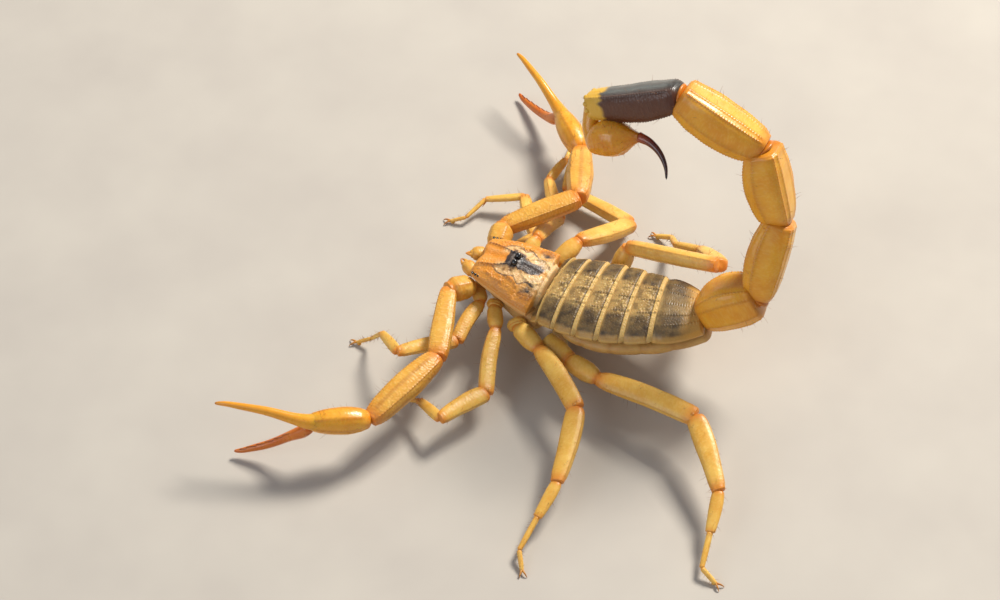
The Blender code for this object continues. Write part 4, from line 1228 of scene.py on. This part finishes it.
def shield_hills(x, y, u):
    """The shield's hills and furrows in mm, and how much of each place is a granular ridge."""
    e = EYE_Y
    ridge = np.zeros_like(x)
    out = 0.34 * bell(x, 0, 0.95) * bell(y, e, 1.25)
    for path, width, height in (
            (((e + 0.55, 0.98), *THROUGH_EYES, (FRONT_Y + 0.3, 1.75)), 0.22, 0.26),
            (((e + 1.1, 1.05), (e + 2.0, 1.65), (e + 3.0, 1.95), (-0.5, 1.35)), 0.19, 0.20),
            (((e - 0.4, 2.35), (e + 0.9, 2.65), (e + 1.5, 3.0)), 0.20, 0.20),
            (((e - 2.9, 2.55), (e - 1.2, 3.15), (e - 0.3, 3.25)), 0.20, 0.12)):
        line = crease(x, y, path, width)
        out = out + height * line * (0.75 + 0.25 * np.cos(tau * y / 0.36))
        ridge = np.maximum(ridge, line)
    out = out - 0.12 * bell(x, 0, 0.26) * step(e + 0.6, e + 1.2, y)
    out = out - 0.20 * bell(x, 0, 0.55) * (1 - step(e - 1.5, e - 0.7, y)) * step(FRONT_Y, FRONT_Y + 0.8, y)
    across = step(0.7, 1.3, np.abs(x)) * (1 - step(3.9, 4.6, np.abs(x)))
    out = out - 0.22 * bell(y - 0.10 * np.abs(x), e + 1.35, 0.38) * across
    for px, py, r, deep in ((2.5, e + 2.6, 0.75, 0.24), (3.6, e + 2.2, 0.7, 0.16),
                            (1.9, e - 1.2, 0.6, 0.14)):
        out = out - deep * both(x, px, r) * bell(y, py, 0.85)
    rim = bell(np.abs(u), 0.985, 0.010) + 0.8 * bell(y, -0.25, 0.14)
    return out + 0.09 * rim - 0.05 * bell(np.abs(u), 0.955, 0.012), ridge


def shield_tones(x, y, u, coarse):
    """The shield's tones: a dark patch round the eyes and back from them, dark lines along the
    shore of the pale middle, dusky rear corners and a pale rim."""
    e = EYE_Y
    soft, fine = mottle(x, y, 0.6, 705), mottle(x, y, 0.25, 706)
    length = step(e - 1.7, e - 0.8, y) * (1 - step(e + 2.8, e + 4.2, y))
    patch = bell(x, 0, 1.15 + 0.50 * bell(y, e, 0.9) - 0.40 * step(e + 0.8, e + 3.0, y)) * length
    patch = step(0.24, 0.58, patch + 0.24 * soft + 0.13 * fine)
    line = crease(x, y, SHORE, 0.10)
    at = flow(y, *np.array(SHORE).T)
    plateau = (1 - step(0.0, 0.2, np.abs(x) - at)) * step(e - 2.5, e - 1.6, y) * step(0.55, 1.0, np.abs(x))
    behind = step(e + 0.9, e + 1.9, y) * (1 - step(3.0, 3.6, np.abs(x)))
    corner = step(0.25, 0.75, both(x, 3.45, 0.95) * bell(y, e + 2.9, 1.25) + 0.15 * soft)
    rim = np.maximum(0.8 * step(0.984, 0.992, np.abs(u)), step(-0.42, -0.32, y))
    thin = crease(x, y, ((e + 0.3, 0.95), *THROUGH_EYES, (FRONT_Y + 0.5, 1.70)), 0.13)
    snout = crease(x, y, ((e - 1.0, 0.55), (FRONT_Y + 0.6, 0.75)), 0.30)
    before = bell(x, 0, 0.9) * (1 - step(e - 1.5, e - 0.9, y))
    dusk = np.clip(patch + 0.62 * corner * (1 + 0.3 * fine) + 0.85 * thin + 0.80 * line
                   + 0.35 * behind * step(0.0, 0.5, soft), 0, 1) * (1 - 0.75 * rim)
    pale = np.clip(0.70 * plateau + 0.45 * behind * (0.5 + 0.5 * coarse) + 0.75 * rim + 0.30 * snout, 0, 1)
    joint = (1 - patch) * np.clip(0.40 * (1 - plateau) * (1 - behind) + 0.25 * before, 0, 1)
    return dict(keel=0.5 * line, dusk=dusk, pale=pale * (1 - patch) * (1 - 0.6 * line),
                joint=joint * (1 - rim))


def shield_relief(x, y, u):
    """The shield's hills, with grains that are sparse round the eyes and crowd on the ridges."""
    hills, ridge = shield_hills(x, y, u)
    coarse, finer = granules(x, y, 0.36, 701, 0.65), granules(x, y, 0.19, 702, 0.8)
    calm = 1 - 0.75 * bell(x, 0, 0.8) * bell(y, EYE_Y - 0.1, 0.9)
    rough = (0.060 * coarse * (0.5 + 0.5 * step(1.2, 2.4, np.abs(x))) + 0.032 * finer) * calm
    rough = rough + 0.08 * granules(x, y, 0.30, 703, 0.95) * ridge
    tones = shield_tones(x, y, u, coarse)
    tones["grain"] = np.maximum(coarse, 0.5 * finer) * calm
    return hills + rough + 0.05 * mottle(x, y, 1.3, 704), tones


def build_shield():
    """The head shield: a domed plate whose rear turns onto the first back plate, its front edge
    notched in the middle."""
    y = np.linspace(FRONT_Y + 0.02, 0.12, 250)
    share = (y - y[0]) / (y[-1] - y[0])
    corner = np.clip((share - 0.82) / 0.18, 0, 1)
    half = flow(y, SHIELD[:, 0], SHIELD[:, 1]) + 0.05
    half = half * (1 - 0.10 * (1 - step(0.0, 0.05, share)) - 0.17 * (1 - np.sqrt(1 - 0.98 * corner ** 2)))
    dome = flow(y, SHIELD[:, 0], SHIELD[:, 2]) - 0.10 * bell(y, EYE_Y + 0.1, 1.2)
    turn = step(0.86, 1.0, share)[:, None]
    frames = dict(centre=on_head(0.0, y, 0.0), left=unit(LEFT * (1 - turn) + BACK[0]["left"] * turn),
                  up=unit(HEAD_UP * (1 - turn) + BACK[0]["up"] * turn))
    grid, tones = plate_grid(frames, half, dome, 270, 44, 0.5, np.full(len(y), -0.02),
                             lambda x, u: shield_relief(x, y[:, None], u),
                             dome_ends(y, y[0], y[-1], 0.22, 0.14))
    side = (grid - frames["centre"][:, None]) @ LEFT
    notch = 0.35 * (1 - step(0.0, 0.12, share))[:, None] * bell(side, 0, 0.9)
    shell = Shell()
    shell.closed(grid + notch[..., None] * TAILWARD, **tones)
    shell.piece("head.shield", FINISHES["shield"], "carapace", "carapace")


def eyeball(shell, centre, up, radius, n):
    """A ball of the given radius with rings of n points."""
    bead(shell, centre, up, radius, radius, n, 26, TAILWARD)


def build_eyes():
    """The two middle eyes, 0.40 mm below the tops of their solids, and three small eyes at each
    front corner of the shield, on its dome's own curve."""
    for sign, hand in SIDES:
        points = SOLIDS["eye_" + hand][0] - HEAD
        middle = points.mean(0)
        centre = on_head(middle @ LEFT + 0.04 * sign, middle @ TAILWARD, (points @ HEAD_UP).max() - 0.40)
        shell = Shell()
        eyeball(shell, centre, unit(HEAD_UP + 0.5 * sign * LEFT), 0.41, 40)
        shell.piece("eye." + hand, FINISHES["eye"], "eye", "eye_" + hand)
    half, dome = (float(flow(FRONT_Y + 0.7, SHIELD[:, 0], SHIELD[:, q])) for q in (1, 2))
    shell = Shell()
    for sign, _ in SIDES:
        for k, (back, radius) in enumerate(((0.45, 0.17), (0.85, 0.17), (1.22, 0.15))):
            u = 0.93 - 0.01 * k
            z = dome * (1 - u ** 2.2) ** 0.45
            eyeball(shell, on_head(sign * u * (half + 0.12 * k), FRONT_Y + back, z), HEAD_UP, radius, 24)
    shell.piece("eyes.side", FINISHES["eye"], "eye")


def jaw_stain(t, a):
    """Dark waves over the outer part of a jaw."""
    return 0.35 * np.clip(0.5 + 0.8 * np.sin(9 * t + 3 * a) * np.cos(7 * a), 0, 1) * step(0.2, 0.5, t)


def build_jaws():
    """Each jaw: a stout joint and two curved fingers that taper to a point."""
    for sign, hand in SIDES:
        found = middles(rings("chelicera_" + hand, "carapace"))
        base, whole = found[0], found[-1] - found[0]
        d = unit(whole)
        side = unit(LEFT - d * (LEFT @ d))
        up = np.cross(side, d)
        palm = base + whole * 0.62
        shell = Shell()
        limb(shell, base - d * 0.4, palm, side,
             [(0, 0.66, 0.60), (0.2, 0.82, 0.74), (0.6, 0.86, 0.80), (0.9, 0.70, 0.64), (1, 0.5, 0.46)],
             count=(60, 56), seed=801 + sign, grain=(0.015, 0.25), tint=(0.0, 0.2), dusk=jaw_stain)
        for shift, rise, reach, thick in ((0.22, 0.10, 1.0, 0.30), (-0.24, -0.10, 0.98, 0.27)):
            out = side * sign * shift
            start = palm - d * 0.3 + out + up * rise
            end = base + whole * reach + out * 0.15 - up * 0.12
            t = np.linspace(0, 1, 24)
            r = thick * (1 - t) ** 0.75 + 0.03
            stalk(shell, bend(start, (start + end) / 2 + out * 0.9 + up * rise, end, 24), side, r, r, 16,
                  joint=0.6 * t, dusk=0.8 * step(0.4, 1.0, t))
        shell.piece("jaw." + hand, FINISHES["arm"], "straw", "chelicera_" + hand)


def build_underside():
    """The underside of the head over the coxal block: one rounded slab with four slanting seams
    between the leg roots and a groove along its middle."""
    points = SOLIDS["coxal_block"][0] - HEAD
    x, y, z = points @ LEFT, points @ TAILWARD, points @ HEAD_UP
    rows = thinned([(place, np.abs(x[near]).max(), z[near].min(), z[near].max())
                    for place, near in slices(y, 0.12, 6)])
    at = np.linspace(rows[0, 0], rows[-1, 0], 110)[:, None]
    half, low, high = (flow(at, rows[:, 0], rows[:, q]) for q in (1, 2, 3))
    shut = dome_ends(at, at[0], at[-1], 0.5, 0.5)
    a, ca, sa = around(110, 2.6)
    across = half * ca
    seams = sum(bell(at - 0.30 * np.abs(across), q, 0.12) for q in (-7.2, -5.9, -4.2, -2.3))
    seams = np.clip(seams, 0, 1)
    relief = -(0.10 * seams + 0.08 * bell(across, 0, 0.10)) * (sa < 0)
    grid = on_head(across * shut * 0.98, at, 0.5 * (low + high) + (0.5 * (high - low) * shut + relief) * sa)
    shell = Shell()
    shell.closed(grid, grain=0.3 * granules(at, a * 3, 0.3, 3), joint=0.6 * seams, pale=0.3)
    shell.piece("breast", FINISHES["belly"], "belly", "coxal_block")


def build_combs():
    """Each comb: a flat joint along its solid's longest spread, and 26 round-ended teeth behind."""
    teeth = 26
    for sign, hand in SIDES:
        points = SOLIDS["comb_" + hand][0]
        c = points.mean(0)
        _, _, v = np.linalg.svd(points - c)
        along = v[0] * np.sign((v[0] @ LEFT) * sign)
        side = unit(v[1] * np.sign(v[1] @ TAILWARD))
        x = (points - c) @ along
        a, b = c + along * x.min(), c + along * x.max()
        shell = Shell()
        limb(shell, a, b, side, [(0, 0.40, 0.24), (0.2, 0.62, 0.28), (0.8, 0.55, 0.26), (1, 0.30, 0.2)],
             count=(60, 40), power=2.6, grain=(0.015, 0.2), tint=(0.2, 0.1), seed=901 + sign,
             keels=((0, 0.05, 0.12, 0.05, 0.95, 0.62, 0.8),))
        s = np.linspace(0.10, 0.97, teeth)[:, None]
        shell.strew(a + (b - a) * s + side * 0.46, np.tile(side, (teeth, 1)), np.tile(along, (teeth, 1)),
                    [(-0.2, 0.075, 0.10), (0.15, 0.085, 0.12), (0.42, 0.09, 0.12), (0.52, 0.05, 0.07)], 8,
                    pale=0.4)
        shell.piece("comb." + hand, FINISHES["comb"], "comb", "comb_" + hand)


build_shield()
build_eyes()
build_jaws()
build_underside()
build_combs()


def build_bristles():
    """Each marked hair as a thin three-sided spike that bends over: its axis at share t is
    root + length (t way + 0.25 t squared side), its radius HAIR_RADIUS (1 - t) ^ 0.6.  On the map
    OFBake each limb has a square of its own, the limb's unrolled surface, and each hair is a patch
    at its root's place there."""
    columns = int(np.ceil(np.sqrt(len(HAIRS))))
    spots = np.concatenate([(np.array([k % columns, k // columns]) + 0.04 + 0.92 * row[3]) / columns
                            for k, row in enumerate(HAIRS)])
    roots, ways, lengths = (np.concatenate([row[q] for row in HAIRS]) for q in range(3))
    keep = (roots + ways * lengths[:, None])[:, 2] > 0.25
    roots, ways, lengths, spots = roots[keep], ways[keep], lengths[keep], spots[keep]
    side = unit(np.cross(ways, np.array([0.3, 0.5, 0.8])))
    third = np.cross(ways, side)
    shares = np.array([0.0, 0.35, 0.7])
    angle = np.arange(3) * tau / 3
    ring = np.cos(angle)[:, None] * side[:, None] + np.sin(angle)[:, None] * third[:, None]
    sag = 0.25 * (shares ** 2)[:, None] * side[:, None]
    axis = roots[:, None] + lengths[:, None, None] * (shares[:, None] * ways[:, None] + sag)
    thick = HAIR_RADIUS * (1 - shares) ** 0.6
    body = axis[:, :, None] + thick[None, :, None, None] * ring[:, None]
    tip = roots + lengths[:, None] * (ways + 0.25 * side)
    points = np.concatenate([body.reshape(len(roots), 9, 3), tip[:, None]], 1)
    j = np.arange(3)
    k = (j + 1) % 3
    quads = np.concatenate([np.stack([i + j, i + k, i + 3 + k, i + 3 + j], 1) for i in (0, 3)])
    tris = np.concatenate([np.stack([6 + j, 6 + k, np.full(3, 9)], 1), [[0, 2, 1]]])
    lift = (np.arange(len(roots)) * 10)[:, None, None]
    shell = Shell()
    shell.add(points.reshape(-1, 3), quads + lift, tris + lift, {})
    mesh = shell.piece("bristles", FINISHES["hair"], "straw").data
    local = np.array([[a, t] for t in shares for a in (0.0, 0.5, 1.0)] + [[0.5, 1.0]]) - 0.5
    uv = (spots[:, None] + HAIR_PATCH * local).reshape(-1, 2)
    corner = np.zeros(len(mesh.loops), np.int32)
    mesh.loops.foreach_get("vertex_index", corner)
    mesh.uv_layers.new(name="OFBake").data.foreach_set("uv", uv[corner].astype(np.float32).ravel())


build_bristles()


# ---- camera, light and floor ------------------------------------------------------------------
CAMERA_AIM = np.array([-0.001228, -0.007143, 0.0])     # metres, a point on the floor near the head
CAMERA_WAY = np.array([0.6040, 0.2198, 0.7660])
CAMERA_DISTANCE = 0.3357
CAMERA_LENS = 98.6                                     # mm, over a sensor 36 mm wide
FLOOR_HALF = 1.6
SKY_STRENGTH = 0.28


def stand(name, data, place, way):
    """An object at a place, looking along a direction with its top upwards."""
    ob = bpy.data.objects.new(name, data)
    bpy.context.scene.collection.objects.link(ob)
    ob.location = place
    ob.rotation_mode = "QUATERNION"
    ob.rotation_quaternion = Vector(way).to_track_quat("-Z", "Y")
    return ob


def build_camera():
    """A long lens at CAMERA_DISTANCE from the point it is aimed at."""
    away = unit(CAMERA_WAY)
    data = bpy.data.cameras.new("camera")
    data.lens, data.sensor_width = CAMERA_LENS, 36.0
    data.clip_start, data.clip_end = 0.01, 10.0
    bpy.context.scene.camera = stand("camera", data, CAMERA_AIM + away * CAMERA_DISTANCE, -away)


def soft_light(name, toward, distance, size, watts, colour):
    """A square panel of light aimed at the middle of the back."""
    data = bpy.data.lights.new(name, "AREA")
    data.shape, data.size, data.energy, data.color = "SQUARE", size, watts, colour
    way = unit(toward)
    stand(name, data, way * distance, -way)


def build_floor():
    """A wide square under the feet, in two soft greys that mottle."""
    r = FLOOR_HALF
    mesh = bpy.data.meshes.new("floor")
    mesh.from_pydata([(-r, -r, 0), (r, -r, 0), (r, r, 0), (-r, r, 0)], [], [(0, 1, 2, 3)])
    floor = bpy.data.objects.new("floor", mesh)
    bpy.context.scene.collection.objects.link(floor)
    f = Finish("pale floor")
    share = f.span(f.noise(60), 0.3, 0.7)
    f.set(Base_Color=f.mix(share, (0.47, 0.43, 0.38), (0.52, 0.48, 0.42)), Roughness=0.75)
    floor.data.materials.append(f.material)


def build_sky():
    """An even, slightly blue light from all sides."""
    world = bpy.data.worlds.new("studio")
    world.use_nodes = True
    background = world.node_tree.nodes["Background"]
    background.inputs["Color"].default_value = (0.86, 0.90, 1.0, 1.0)
    background.inputs["Strength"].default_value = SKY_STRENGTH
    bpy.context.scene.world = world


build_camera()
build_floor()
soft_light("key", (-0.60, 0.24, 0.76), 0.60, 0.16, 5.2, (1.0, 0.95, 0.87))
soft_light("fill", (0.75, -0.45, 0.55), 0.70, 0.50, 1.6, (0.93, 0.96, 1.0))
build_sky()
bpy.context.scene.view_settings.view_transform = "Standard"
